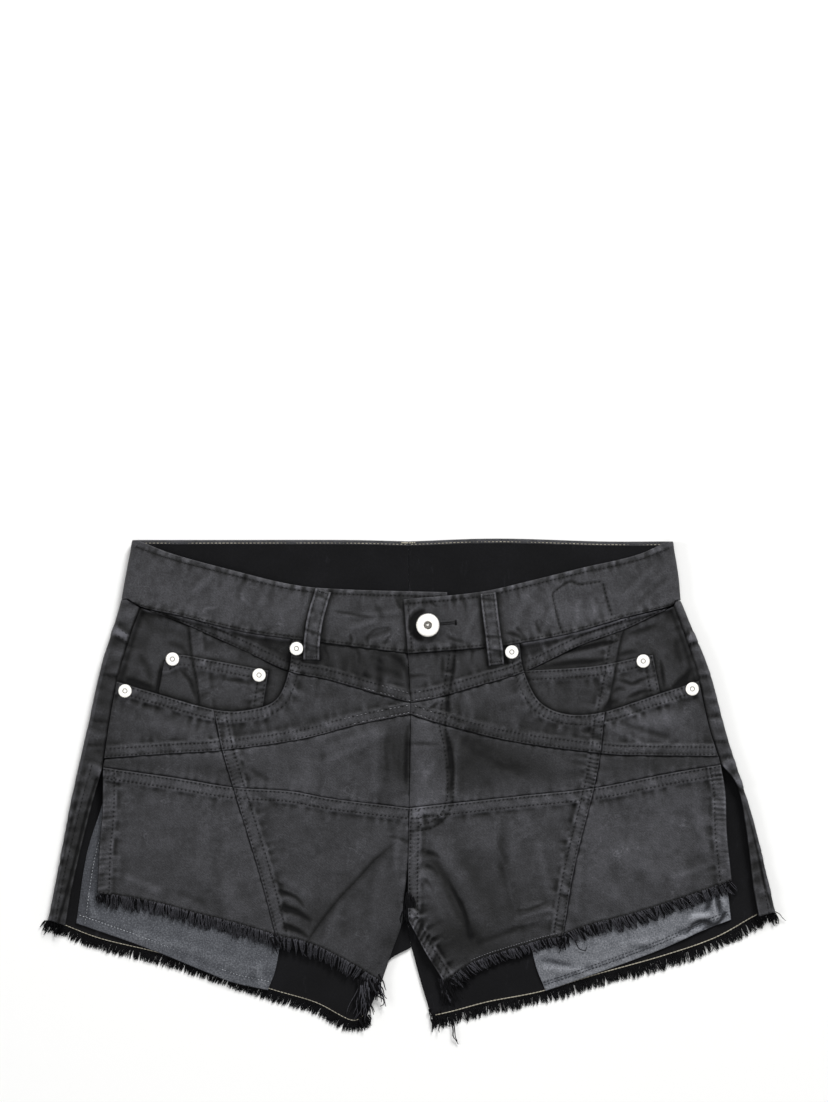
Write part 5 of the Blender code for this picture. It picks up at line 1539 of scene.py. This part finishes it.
def stray_threads():
    """Single yarns that have come right out of the hems."""
    parts = []
    for thick, points in STRAYS:
        line = through(np.array(points, float), 8)
        line[:, 2] = np.maximum(line[:, 2], thick)
        parts.append(tubes(line[None], np.linspace(thick, 0.5 * thick, len(line))[None], 4))
    parts.append(tubes(*tangle(CROTCH_TUFT, np.random.RandomState(97), TUFT_LOWEST), 4))
    joined_mesh("stray_yarns", (FRAYED_YARN, parts))


# ---------------------------------------------------------------- belt loops, button and rivets

def loop_level(line, side):
    """The loop's height: on the waistband, down over its lower seam, and on the yoke."""
    waist = seam("waist_seam", side)
    below = waist(np.clip(waist.nearest(line(0.75)), 0, 1))[1]

    def level(x, y):
        t = line.measure(x, y)[0] / line.length
        at = line(t)[..., 1]
        over_band = smooth_step((at - below + 6.0) / 4.0)
        return loft(at) + 0.9 + LOOP + over_band * (BAND_PROUD + 0.2) + 0.7 * np.sin(math.pi * t)

    return level


def belt_loop(side):
    """A folded strip from the waistband's top edge over its lower seam onto the yoke."""
    line = seam("loop_line", side)
    level = loop_level(line, side)
    half = LOOP_WIDTH / 2
    wide = LOOP_WIDTH_STEPS * half
    t = stations(line.length, LOOP_STEP)
    cross = heading(line, t, 0.02)[1]
    sway = 1.0 + 0.05 * noise(t * 5.0, t * 3.0, 61 + SIDES[side])
    plan = line(t)[:, None] + cross[:, None] * (wide[None] * sway[:, None])[..., None]
    x, y = plan[..., 0], plan[..., 1]
    base = level(x, y)
    across = np.broadcast_to(wide[None], x.shape)
    along = np.broadcast_to((t * line.length)[:, None], x.shape)

    def relief(px, py):
        alongs, away = line.measure(px, py)
        bump = (0.24 * noise(alongs / 3.2, away / 3.0, 63 + SIDES[side])
                + 0.25 * noise(alongs / 9.0, away / 9.0, 65 + SIDES[side]))
        for row in (-half + LOOP_ROW, half - LOOP_ROW):
            bump = bump - 0.25 * np.exp(-((away - row) / 0.6) ** 2)
        for at in (5.5, 0.62 * line.length, 0.80 * line.length):
            bump = bump - 0.30 * np.exp(-((alongs - at - 0.2 * away) / 0.8) ** 2)
        return bump

    def surface(px, py):
        return level(px, py) + relief(px, py)

    top = base + relief(x, y)
    fall = edge_fall(plan, *LOOP_EDGE)
    # Paler edges, partly worn coating and partly painted highlight; painted shade in the stitch grooves, at
    # the edges that round down and across the creases.
    worn_and_lit_edge = np.exp(-((np.abs(across) - 0.80 * half) / 0.7) ** 2)
    seam_lines = np.exp(-((np.abs(across) - half + LOOP_ROW) / 0.6) ** 2)
    tone = wear_and_painted_shade(top) - 0.06 + 1.05 * worn_and_lit_edge - 0.45 * seam_lines - 1.2 * (fall > 0.35)
    for at in (4.2, 0.60 * line.length, 0.80 * line.length):
        tone -= 0.7 * np.exp(-((along - at - 0.2 * across) / 0.8) ** 2)
    piece = shell(f"loop_{side}_cloth", np.dstack([plan, top - fall]), np.dstack([plan, base - LOOP]), True,
                  (COATED, RAW_INSIDE), tone)
    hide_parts(f"loop_{side}")

    rows = []
    for offset in (-half + LOOP_ROW, half - LOOP_ROW):
        rows += stitch_row(line, offset, surface, None, 0.03, 0.97)
    for at in (0.035, 0.955):
        reach = heading(line, at, 0.02)[1] * (half - 1.2)
        rows += stitch_row(straight(line(at) - reach, line(at) + reach), 0.0, surface, pitch=1.5,
                           length=1.45, radius=0.3)
    stitches = joined_mesh(f"loop_{side}_stitches", (BLACK_THREAD, rows))


def turned_piece(node, name, section, radius, height, segments, groove):
    """A piece of hardware at its solid's place, from a section in shares of its radius and height."""
    low, high = (np.array(corner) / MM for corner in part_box(node))
    profile = [(share * radius, rise * height) for share, rise in section]
    piece = turned_metal(f"{node}_{name}", profile, *(low + high)[:2] / 2, low[2], segments, groove)
    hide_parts(node)


def hardware():
    for node in RIVETS:
        turned_piece(node, "cap", CAP_SECTION, 4.8, 1.5, 40, (2, 5))
    turned_piece("button", "disc", DISC_SECTION, 8.4, 3.2, 64, (2, 6))


def buttonhole(surface):
    """Close stitches round a slit, with a bar tack at its far end."""
    first, last = (np.array(point) for point in BUTTONHOLE)
    run = (last - first) / np.linalg.norm(last - first)
    cross = np.array([-run[1], run[0]])
    middle = first + (last - first) * (np.arange(20)[:, None] + 0.5) / 20
    reach = 0.15 + 0.95 * np.linspace(0.0, 1.0, 4)
    parts = []

    def lay(plan, lift, radius):
        z = surface(plan[..., 0], plan[..., 1]) + np.array(lift)
        parts.append(tubes(np.dstack([plan, z]), np.full(z.shape, radius), 5))

    for sign in (-1.0, 1.0):
        lay(middle[:, None] + sign * cross * reach[None, :, None], (-0.2, 0.12, 0.12, -0.2), 0.18)
    bars = last + run * np.array([0.5, 1.0, 1.5])[:, None]
    lay(bars[:, None] + cross * np.linspace(-1.9, 1.9, 5)[None, :, None], (-0.2, 0.15, 0.2, 0.15, -0.2), 0.26)
    joined_mesh("buttonhole_stitches", (BLACK_THREAD, parts))


# ---------------------------------------------------------------- finishes

def linear(code):
    """Linear colour of an sRGB hex value."""
    parts = [int(code[k:k + 2], 16) / 255 for k in (1, 3, 5)]
    return (*[p / 12.92 if p <= 0.04045 else ((p + 0.055) / 1.055) ** 2.4 for p in parts], 1.0)


def add(tree, kind, inputs=(), **settings):
    """One node with its settings, its values and its links."""
    node = tree.nodes.new(kind)
    for name, value in settings.items():
        setattr(node, name, value)
    for socket, value in dict(inputs).items():
        if isinstance(value, bpy.types.NodeSocket):
            tree.links.new(value, node.inputs[socket])
        else:
            node.inputs[socket].default_value = value
    return node


def finish(name, **values):
    """A material with its constants, its tree, and the place on the garment that its patterns follow."""
    material = bpy.data.materials.new(name)
    material.use_nodes = True
    tree = material.node_tree
    for socket, value in values.items():
        tree.nodes["Principled BSDF"].inputs[socket.replace("_", " ")].default_value = value
    return material, tree, add(tree, "ShaderNodeTexCoord").outputs["Object"]


def wire(tree, **sources):
    """Patterns led into the shader's sockets."""
    for socket, source in sources.items():
        tree.links.new(source, tree.nodes["Principled BSDF"].inputs[socket.replace("_", " ")])


def ramp(tree, factor, *stops):
    """Colours along a factor, from position and sRGB hex pairs."""
    node = add(tree, "ShaderNodeValToRGB", {0: factor})
    band = node.color_ramp
    while len(band.elements) < len(stops):
        band.elements.new(1.0)
    for element, (position, code) in zip(band.elements, stops):
        element.position = position
        element.color = linear(code)
    return node.outputs[0]


def mottle(tree, place, size, detail=3.0, roughness=0.5):
    """Noise with swells of about size millimetres."""
    return add(tree, "ShaderNodeTexNoise", {"Vector": place, "Scale": 1000.0 / size, "Detail": detail,
                                            "Roughness": roughness}).outputs["Fac"]


def weighed(tree, start, *terms):
    """Sum of start and of each value times its weight."""
    total = start
    for value, weight in terms:
        total = add(tree, "ShaderNodeMath", {0: value, 1: weight, 2: total},
                    operation="MULTIPLY_ADD").outputs[0]
    return total


def twill(tree, place, pitch):
    """Diagonal ribs of a twill weave, about pitch millimetres apart."""
    turned = add(tree, "ShaderNodeMapping", {"Vector": place, "Rotation": (0.0, 0.0, math.radians(58))})
    return add(tree, "ShaderNodeTexWave", {"Vector": turned.outputs[0], "Scale": 314.0 / pitch,
                                           "Distortion": 1.6, "Detail": 2.0, "Detail Scale": 2.0},
               wave_type="BANDS", bands_direction="X", wave_profile="SIN").outputs["Fac"]


def cracks(tree, place):
    """Thin uneven lines, where the coat cracked along old creases: 1 on a line and 0 beside it."""
    field = mottle(tree, place, 34.0, 4.0, 0.6)
    off = add(tree, "ShaderNodeMath", {0: field, 1: 0.5}, operation="SUBTRACT").outputs[0]
    apart = add(tree, "ShaderNodeMath", {0: off}, operation="ABSOLUTE").outputs[0]
    line = add(tree, "ShaderNodeMapRange", {"Value": apart, "From Max": 0.008, "To Min": 1.0, "To Max": 0.0})
    where = add(tree, "ShaderNodeMapRange", {"Value": mottle(tree, place, 16.0, 2.0, 0.5), "From Min": 0.5,
                                             "From Max": 0.62})
    return add(tree, "ShaderNodeMath", {0: line.outputs[0], 1: where.outputs[0]},
               operation="MULTIPLY").outputs[0]


def coated_denim():
    """Black cotton twill under a thin resin coat: cloudy where the coat wore thin, with a dull sheen. Its
    tone attribute makes ridges paler, from wear and painted light, and hollows darker, as painted shade."""
    material, tree, place = finish("coated_black_denim", Roughness=0.62, Specular_IOR_Level=0.32)
    tone = add(tree, "ShaderNodeAttribute", attribute_name="tone").outputs["Fac"]
    clouds = mottle(tree, place, 60.0, 3.0, 0.6)
    blotches = mottle(tree, place, 9.0, 4.0, 0.65)
    grain = mottle(tree, place, 1.2, 3.0, 0.75)
    ribs = twill(tree, place, 1.0)      # the real twill, at 0.6 mm, is too fine to show
    shade = weighed(tree, -0.24, (tone, 0.50), (clouds, 0.38), (blotches, 0.27), (grain, 0.80), (ribs, 0.06),
                    (cracks(tree, place), 0.22))
    colour = ramp(tree, shade, (0.0, "#0a0a0b"), (0.25, "#1b1b1d"), (0.50, "#2f2f32"), (0.75, "#434347"),
                  (1.0, "#5e5e64"))
    dull = weighed(tree, 0.44, (blotches, 0.16), (grain, 0.18))
    # Deep in a seam or a crease no light reaches the coat, so that its sheen goes with its shade.
    sheen = add(tree, "ShaderNodeMapRange", {"Value": shade, "From Min": -0.60, "From Max": 0.10,
                                             "To Min": 0.12, "To Max": 0.33}).outputs[0]
    relief = weighed(tree, 0.0, (grain, 0.6), (ribs, 0.12), (blotches, 0.9))
    bump = add(tree, "ShaderNodeBump", {"Height": relief, "Strength": 0.9, "Distance": 0.0006})
    wire(tree, Base_Color=colour, Roughness=dull, Specular_IOR_Level=sheen, Normal=bump.outputs[0])
    return material


def raw_inside():
    """The uncoated back of the same twill: flat black cotton with a soft nap."""
    material, tree, place = finish("uncoated_black_cotton", Roughness=0.9, Specular_IOR_Level=0.12,
                                    Sheen_Weight=0.02, Sheen_Roughness=0.6)
    clouds = mottle(tree, place, 40.0, 3.0, 0.6)
    grain = mottle(tree, place, 1.2, 3.0, 0.7)
    ribs = twill(tree, place, 1.0)
    upright = add(tree, "ShaderNodeMapping", {"Vector": place, "Scale": (1.0, 0.25, 1.0)}).outputs[0]
    scuffs = add(tree, "ShaderNodeMapRange", {"Value": mottle(tree, upright, 7.0, 4.0, 0.7), "From Min": 0.62,
                                              "From Max": 0.78}).outputs[0]
    shade = weighed(tree, -0.25, (clouds, 0.6), (grain, 0.7), (ribs, 0.15), (scuffs, 0.7))
    colour = ramp(tree, shade, (0.0, "#060607"), (0.5, "#0f0f11"), (1.0, "#1d1d20"))
    bump = add(tree, "ShaderNodeBump", {"Height": weighed(tree, 0.0, (grain, 0.6), (ribs, 0.4)),
                                        "Strength": 0.5, "Distance": 0.0003})
    wire(tree, Base_Color=colour, Normal=bump.outputs[0])
    return material


def chambray():
    """Plain weave of white weft and blue-grey warp: fine heather with short streaks both ways."""
    material, tree, place = finish("blue_grey_chambray", Roughness=0.88, Specular_IOR_Level=0.2)
    turned = add(tree, "ShaderNodeMapping", {"Vector": place, "Rotation": (0.0, 0.0, math.radians(14))})
    warp = add(tree, "ShaderNodeMapping", {"Vector": turned.outputs[0], "Scale": (1.0, 0.6, 1.0)})
    weft = add(tree, "ShaderNodeMapping", {"Vector": turned.outputs[0], "Scale": (0.6, 1.0, 1.0)})
    down = mottle(tree, warp.outputs[0], 0.8, 1.0, 0.5)
    along = mottle(tree, weft.outputs[0], 0.8, 1.0, 0.5)
    clouds = mottle(tree, place, 22.0, 3.0, 0.6)
    # The tone attribute carries painted shade in the bag's creases and the front's painted shadow.
    tone = add(tree, "ShaderNodeAttribute", attribute_name="tone").outputs["Fac"]
    shade = weighed(tree, -0.06, (down, 0.55), (along, 0.55), (clouds, 0.06), (tone, 0.20))
    colour = ramp(tree, shade, (0.0, "#26272a"), (0.40, "#484a4f"), (0.65, "#67696e"), (1.0, "#909298"))
    bump = add(tree, "ShaderNodeBump", {"Height": weighed(tree, 0.0, (down, 0.5), (along, 0.5)),
                                        "Strength": 0.6, "Distance": 0.0003})
    wire(tree, Base_Color=colour, Normal=bump.outputs[0])
    return material


def thread(name, low, high, roughness, specular):
    """Twisted sewing thread: the twist breaks its colour into short light and dark lengths."""
    material, tree, place = finish(name, Roughness=roughness, Specular_IOR_Level=specular)
    twist = mottle(tree, place, 0.7, 2.0, 0.6)
    length = mottle(tree, place, 9.0, 2.0, 0.6)
    colour = ramp(tree, weighed(tree, -0.2, (twist, 0.9), (length, 0.5)), (0.25, low), (0.75, high))
    bump = add(tree, "ShaderNodeBump", {"Height": twist, "Strength": 0.5, "Distance": 0.0001})
    wire(tree, Base_Color=colour, Normal=bump.outputs[0])
    return material


def satin_nickel(name, worn, bright):
    """Nickel plate on turned brass, barrel polished: near white, with soft wide highlights. With dark colours
    it paints the shade in a sunk groove."""
    material, tree, place = finish(name, Metallic=1.0, Roughness=0.24)
    wear = mottle(tree, place, 2.2, 4.0, 0.6)
    colour = ramp(tree, wear, (0.30, worn), (0.60, bright))
    wire(tree, Base_Color=colour)
    wire(tree, Roughness=weighed(tree, 0.16, (wear, 0.18)))
    return material


def pale_floor():
    material, tree, place = finish("matt_white_paper", Roughness=0.9, Specular_IOR_Level=0.1)
    colour = ramp(tree, mottle(tree, place, 900.0, 2.0, 0.5), (0.3, "#f4f4f3"), (0.7, "#f8f8f7"))
    wire(tree, Base_Color=colour)
    return material


# ---------------------------------------------------------------- what is sewn where

# The fly's curved topstitching, from the waist seam down to the centre front seam.
FLY_POINTS = ((30, 98), (29.4, 90.3), (27.8, 79.4), (25.6, 64.8), (22.7, 42.7), (25.2, 31.5),
              (27.8, 13.3), (28.4, -3.5), (27.2, -12.6), (23.4, -21.5), (15.4, -27.7), (6.5, -30))
FLY_TOPSTITCH = Line(FLY_POINTS)
# The princess seam goes on over the facing and the coin pocket.
PRINCESS_IN_POCKET = {
    "R": Line(((-154.9, 111.7), (-152.6, 90.3), (-149.2, 72.1), (-147, 52))),
    "L": Line(((149.6, 108.3), (146.9, 98.3), (144.4, 85.1), (142.5, 73.5), (139.7, 59.7), (137.9, 48))),
}
# A worn line of close stitches on the left facing, under the yoke seam.
TOOTHED_EDGE = ((106.0, 91.6), (118.0, 95.2), (132.0, 98.2), (146.0, 101.0))
# A plain rectangle is stitched on the left of the waistband: three of its edges show.
PATCH_OUTLINE = (Line(((99.6, 134.3), (100.8, 127.4), (104.2, 113.5), (107.1, 106.0))),
                 straight((134.6, 142.0), (141.4, 118.0)),
                 Line(((99.2, 133.7), (105.0, 138.5), (112.0, 142.5), (119.0, 140.4), (134.0, 142.5))))
# Seams of the back that come round the folded side: height where x is CROSSING_X, slope, and the width
# of a sewn band.
CROSSING_X = 205.0
SIDE_CROSSINGS = {
    "R": ((103.6, 0.69, 8.6), (75.6, 0.2, 0.0), (43.4, 0.1, 0.0), (28.0, 0.0, 0.0)),
    "L": ((104.0, 0.69, 8.6), (75.6, 0.2, 0.0), (47.6, 0.1, 0.0), (30.1, 0.0, 0.0), (19.6, 0.0, 0.0)),
}
# Where the back's vent hem ends under the cloth: a groove with painted shade between it and the folded side.
BACK_HEM_FOLD = {
    "R": ((-218.5, 6.0), (-226.0, -18.0), (-233.5, -48.0), (-241.0, -78.0), (-246.0, -96.0)),
    "L": ((224.0, 4.0), (233.5, -7.5), (238.0, -24.5), (243.5, -48.0), (248.5, -71.0), (255.0, -89.5)),
}
BAG_TONE = {"R": -0.25, "L": 0.75}
BUTTONHOLE = ((20.6, 112.8), (31.0, 113.7))
HEM_ROW_OFFSET = -2.4
# Sections through a rivet's cap and the button, from the crown's middle outwards and back under: shares
# of the radius and of the height.
CAP_SECTION = ((0, 0.88), (0.14, 0.88), (0.25, 0.86), (0.27, 0.55), (0.33, 0.55), (0.36, 0.94), (0.42, 0.97),
               (0.60, 0.975), (0.92, 0.97), (0.97, 0.92), (0.99, 0.78), (1, 0.50), (0.99, 0), (0, 0))
DISC_SECTION = ((0, 0.62), (0.08, 0.62), (0.13, 0.54), (0.17, 0.14), (0.25, 0.14), (0.29, 0.40),
                (0.315, 0.86), (0.35, 0.965), (0.45, 0.985), (0.66, 0.99), (0.93, 0.98), (0.975, 0.93),
                (0.995, 0.80), (1, 0.62), (0.98, 0.50), (0.9, 0.42), (0.45, 0.36), (0.45, 0), (0, 0))
LOOP_WIDTH_STEPS = np.array([-1.0, -0.94, -0.86, -0.74, -0.6, -0.45, -0.3, -0.15, 0.0, 0.15, 0.3, 0.45, 0.6,
                             0.74, 0.86, 0.94, 1.0])
# How a hem is frayed: length of its yarns, teeth to a millimetre, yarns to a tooth, their radius, how
# far they lean outwards and drop, the lowest that they lie, the share that still has its coat, how far
# the yarns of a tooth close up at its tip, and how uneven the teeth are.
Fray = namedtuple("Fray", "reach teeth yarns radius lean drop lowest coated cling ragged")
FRAYS = {
    ("fray_back", "R"): Fray(8.6, 1.1, 6, 0.37, 0.05, 0.6, 0.42, 0.0, 0.25, 0.22),
    ("fray_back", "L"): Fray(9.4, 0.7, 8, 0.37, 0.05, 0.6, 0.42, 0.0, 0.5, 0.5),
    ("fray_out", "R"): Fray(10.2, 0.5, 9, 0.42, -0.25, 1.4, 2.85, 0.75, 0.62, 0.55),
    ("fray_out", "L"): Fray(10.2, 0.5, 9, 0.42, -0.25, 1.4, 2.85, 0.5, 0.62, 0.55),
    ("fray_in", "R"): Fray(10.2, 0.5, 9, 0.42, -0.25, 1.4, 2.85, 0.75, 0.62, 0.55),
    ("fray_in", "L"): Fray(8.4, 0.7, 9, 0.42, -0.25, 1.4, 2.85, 0.4, 0.62, 0.55),
}
YARN_TAPER = np.array([1.0, 1.0, 0.93, 0.8, 0.4])
WEFT_OFFSETS = (0.1, 0.7, 1.3)
CURL_LENGTH = 11.0
LOOSE_SHARE = 0.08       # of the yarns, which stand apart from their tooth
SHORT_YARN = 0.72
TUFT_LOWEST = 0.7
Tuft = namedtuple("Tuft", "x y run_x run_y reach count spread z fall")
TUFTS = {
    ("fray_back", "R"): (Tuft(-253, -96, -0.5, -1, 7, 22, 1.4, 1.6, 1),
                         Tuft(-247, -97, -0.2, -1, 8, 18, 2, 1.8, 1),
                         Tuft(-34, -161, 0.1, -1, 9, 26, 2.4, 1.6, 1)),
    ("fray_back", "L"): (Tuft(254, -91, 0.3, -1, 7, 18, 1.6, 1.6, 1),
                         Tuft(18, -161, 0.1, -1, 8, 26, 2.6, 1.6, 1)),
    ("fray_in", "R"): (Tuft(-32, -137, -0.12, -1, 27, 38, 2.5, 3.8, 1.6),
                       Tuft(-24.5, -137, 0.28, -1, 16, 26, 1.9, 3.6, 1.2)),
    ("fray_in", "L"): (Tuft(25.5, -134, 0.22, -1, 21, 40, 2.4, 3.8, 1.6),
                       Tuft(32, -133, 0.8, -0.8, 10, 22, 1.8, 3.8, 1.2)),
    ("fray_out", "R"): (Tuft(-95, -106, 0.3, -1, 11, 20, 1.6, 5, 2),
                        Tuft(-217, -77, 0.1, -1, 6, 14, 1.4, 4.6, 1.5)),
    ("fray_out", "L"): (Tuft(109, -106, -0.3, -1, 11, 20, 1.6, 5, 2),
                        Tuft(223, -68, 0.1, -1, 7, 16, 1.4, 4.6, 1.5)),
}
CROTCH_TUFT = Tuft(-0.2, -77, 0.02, -1.0, 24.0, 60, 1.5, 5.0, 1.0)     # where the two front legs part
STRAYS = (
    (0.3, ((256, -89, 1.6), (259, -90.6, 1.8), (261, -93.2, 1.2), (263.4, -95.4, 0.5))),
    (0.3, ((255, -90, 1.4), (257.6, -93.4, 1.6), (258.2, -97.4, 0.6))),
    (0.5, ((29, -166, 1), (30.2, -172, 1.6), (30.2, -176, 1.5), (32.4, -179.4, 1),
           (33.8, -182, 0.5))),
    (0.45, ((30.6, -166.5, 0.9), (31.4, -173, 1.3), (31.8, -176.6, 1.2), (33.2, -180, 0.6))),
    (0.45, ((-22.5, -148, 3), (-19, -150, 2.6), (-18.4, -153.6, 1.6), (-21, -155.4, 0.9))),
    (0.3, ((-252, -97, 1.6), (-256, -99.4, 1.3), (-257.8, -102.4, 0.6))),
    (0.35, ((116, -110, 4.4), (118.4, -114.6, 3.6), (122.6, -116, 3.2), (124, -113, 3.1))),
)


def back_yoke(side):
    return straight((CENTRE_BACK_X, 64.0), (OUTWARD[side] * 204.0, 94.0))


COATED, RAW_INSIDE, CHAMBRAY = coated_denim(), raw_inside(), chambray()
BLACK_THREAD = thread("black_polyester_thread", "#020203", "#0c0c0e", 0.7, 0.12)
RUBBED_THREAD = thread("rubbed_grey_thread", "#55555a", "#8e8e92", 0.75, 0.2)
BEIGE_THREAD = thread("beige_cotton_thread", "#7d786c", "#c2bcab", 0.75, 0.2)
PALE_THREAD = thread("pale_grey_cotton_thread", "#8d9096", "#c9ccd0", 0.75, 0.3)
BAG_THREAD = thread("dark_grey_cotton_thread", "#17181c", "#34373d", 0.75, 0.3)
FRAYED_YARN = thread("frayed_black_cotton_yarn", "#050506", "#19191b", 0.9, 0.08)
COATED_YARN = thread("frayed_coated_yarn", "#111113", "#4a4a50", 0.75, 0.2)
NICKEL = satin_nickel("satin_nickel_plate", "#e6e4df", "#f8f6f1")
# Darker nickel for the sunk groove of the rivets and the button: painted shade.
GROOVE_SHADE_NICKEL = satin_nickel("nickel_with_painted_groove_shade", "#6e6b67", "#94918b")
FLOOR_NAME = "floor"


# ---------------------------------------------------------------- camera, light and floor

def set_camera():
    """Straight down, the waist at the top of the frame, at the photograph's scale."""
    data = bpy.data.cameras.new("view")
    data.lens = LENS
    data.sensor_width = SENSOR
    distance = FRAME_HEIGHT * LENS / SENSOR
    data.clip_end = 20.0
    camera = bpy.data.objects.new("view", data)
    camera.location = (*FRAME_MIDDLE, MID_HEIGHT + distance)
    bpy.context.scene.collection.objects.link(camera)
    bpy.context.scene.camera = camera


def softbox(name, place, size, power):
    data = bpy.data.lights.new(name, "AREA")
    data.shape = "RECTANGLE"
    data.size, data.size_y = size
    data.energy = power
    lamp = bpy.data.objects.new(name, data)
    lamp.location = place
    lamp.rotation_euler = (-Vector(place)).to_track_quat("-Z", "Y").to_euler()
    bpy.context.scene.collection.objects.link(lamp)


def set_stage():
    mesh = bpy.data.meshes.new(FLOOR_NAME)
    reach, level = 4.0, -0.0003
    mesh.from_pydata([(-reach, -reach, level), (reach, -reach, level), (reach, reach, level),
                      (-reach, reach, level)], [], [(0, 1, 2, 3)])
    mesh.materials.append(pale_floor())
    floor = bpy.data.objects.new(FLOOR_NAME, mesh)
    bpy.context.scene.collection.objects.link(floor)
    world = bpy.data.worlds.new("studio")
    bpy.context.scene.world = world
    world.use_nodes = True
    world.node_tree.nodes["Background"].inputs["Color"].default_value = linear("#ffffff")
    world.node_tree.nodes["Background"].inputs["Strength"].default_value = 0.25
    softbox("softbox_overhead", (0.0, 0.3, 4.4), (4.0, 4.0), 54.0)
    softbox("softbox_top", (1.5, 3.6, 1.9), (1.2, 1.2), 225.0)
    softbox("softbox_left", (-3.6, 0.2, 2.2), (1.2, 1.2), 50.0)
    bpy.context.scene.view_settings.view_transform = "Standard"


# ---------------------------------------------------------------- the garment

def dress():
    set_camera()
    set_stage()
    for side in SIDES:
        frayed_hems(side)
    stray_threads()
    bands = {}
    for side in SIDES:
        back_panel(side)
        pocket_bag(side)
        pockets(side)
        bands[side] = waistband(side)
        front_panels(side)
        belt_loop(side)
    buttonhole(bands["L"])
    hardware()


dress()
bpy.context.view_layer.update()
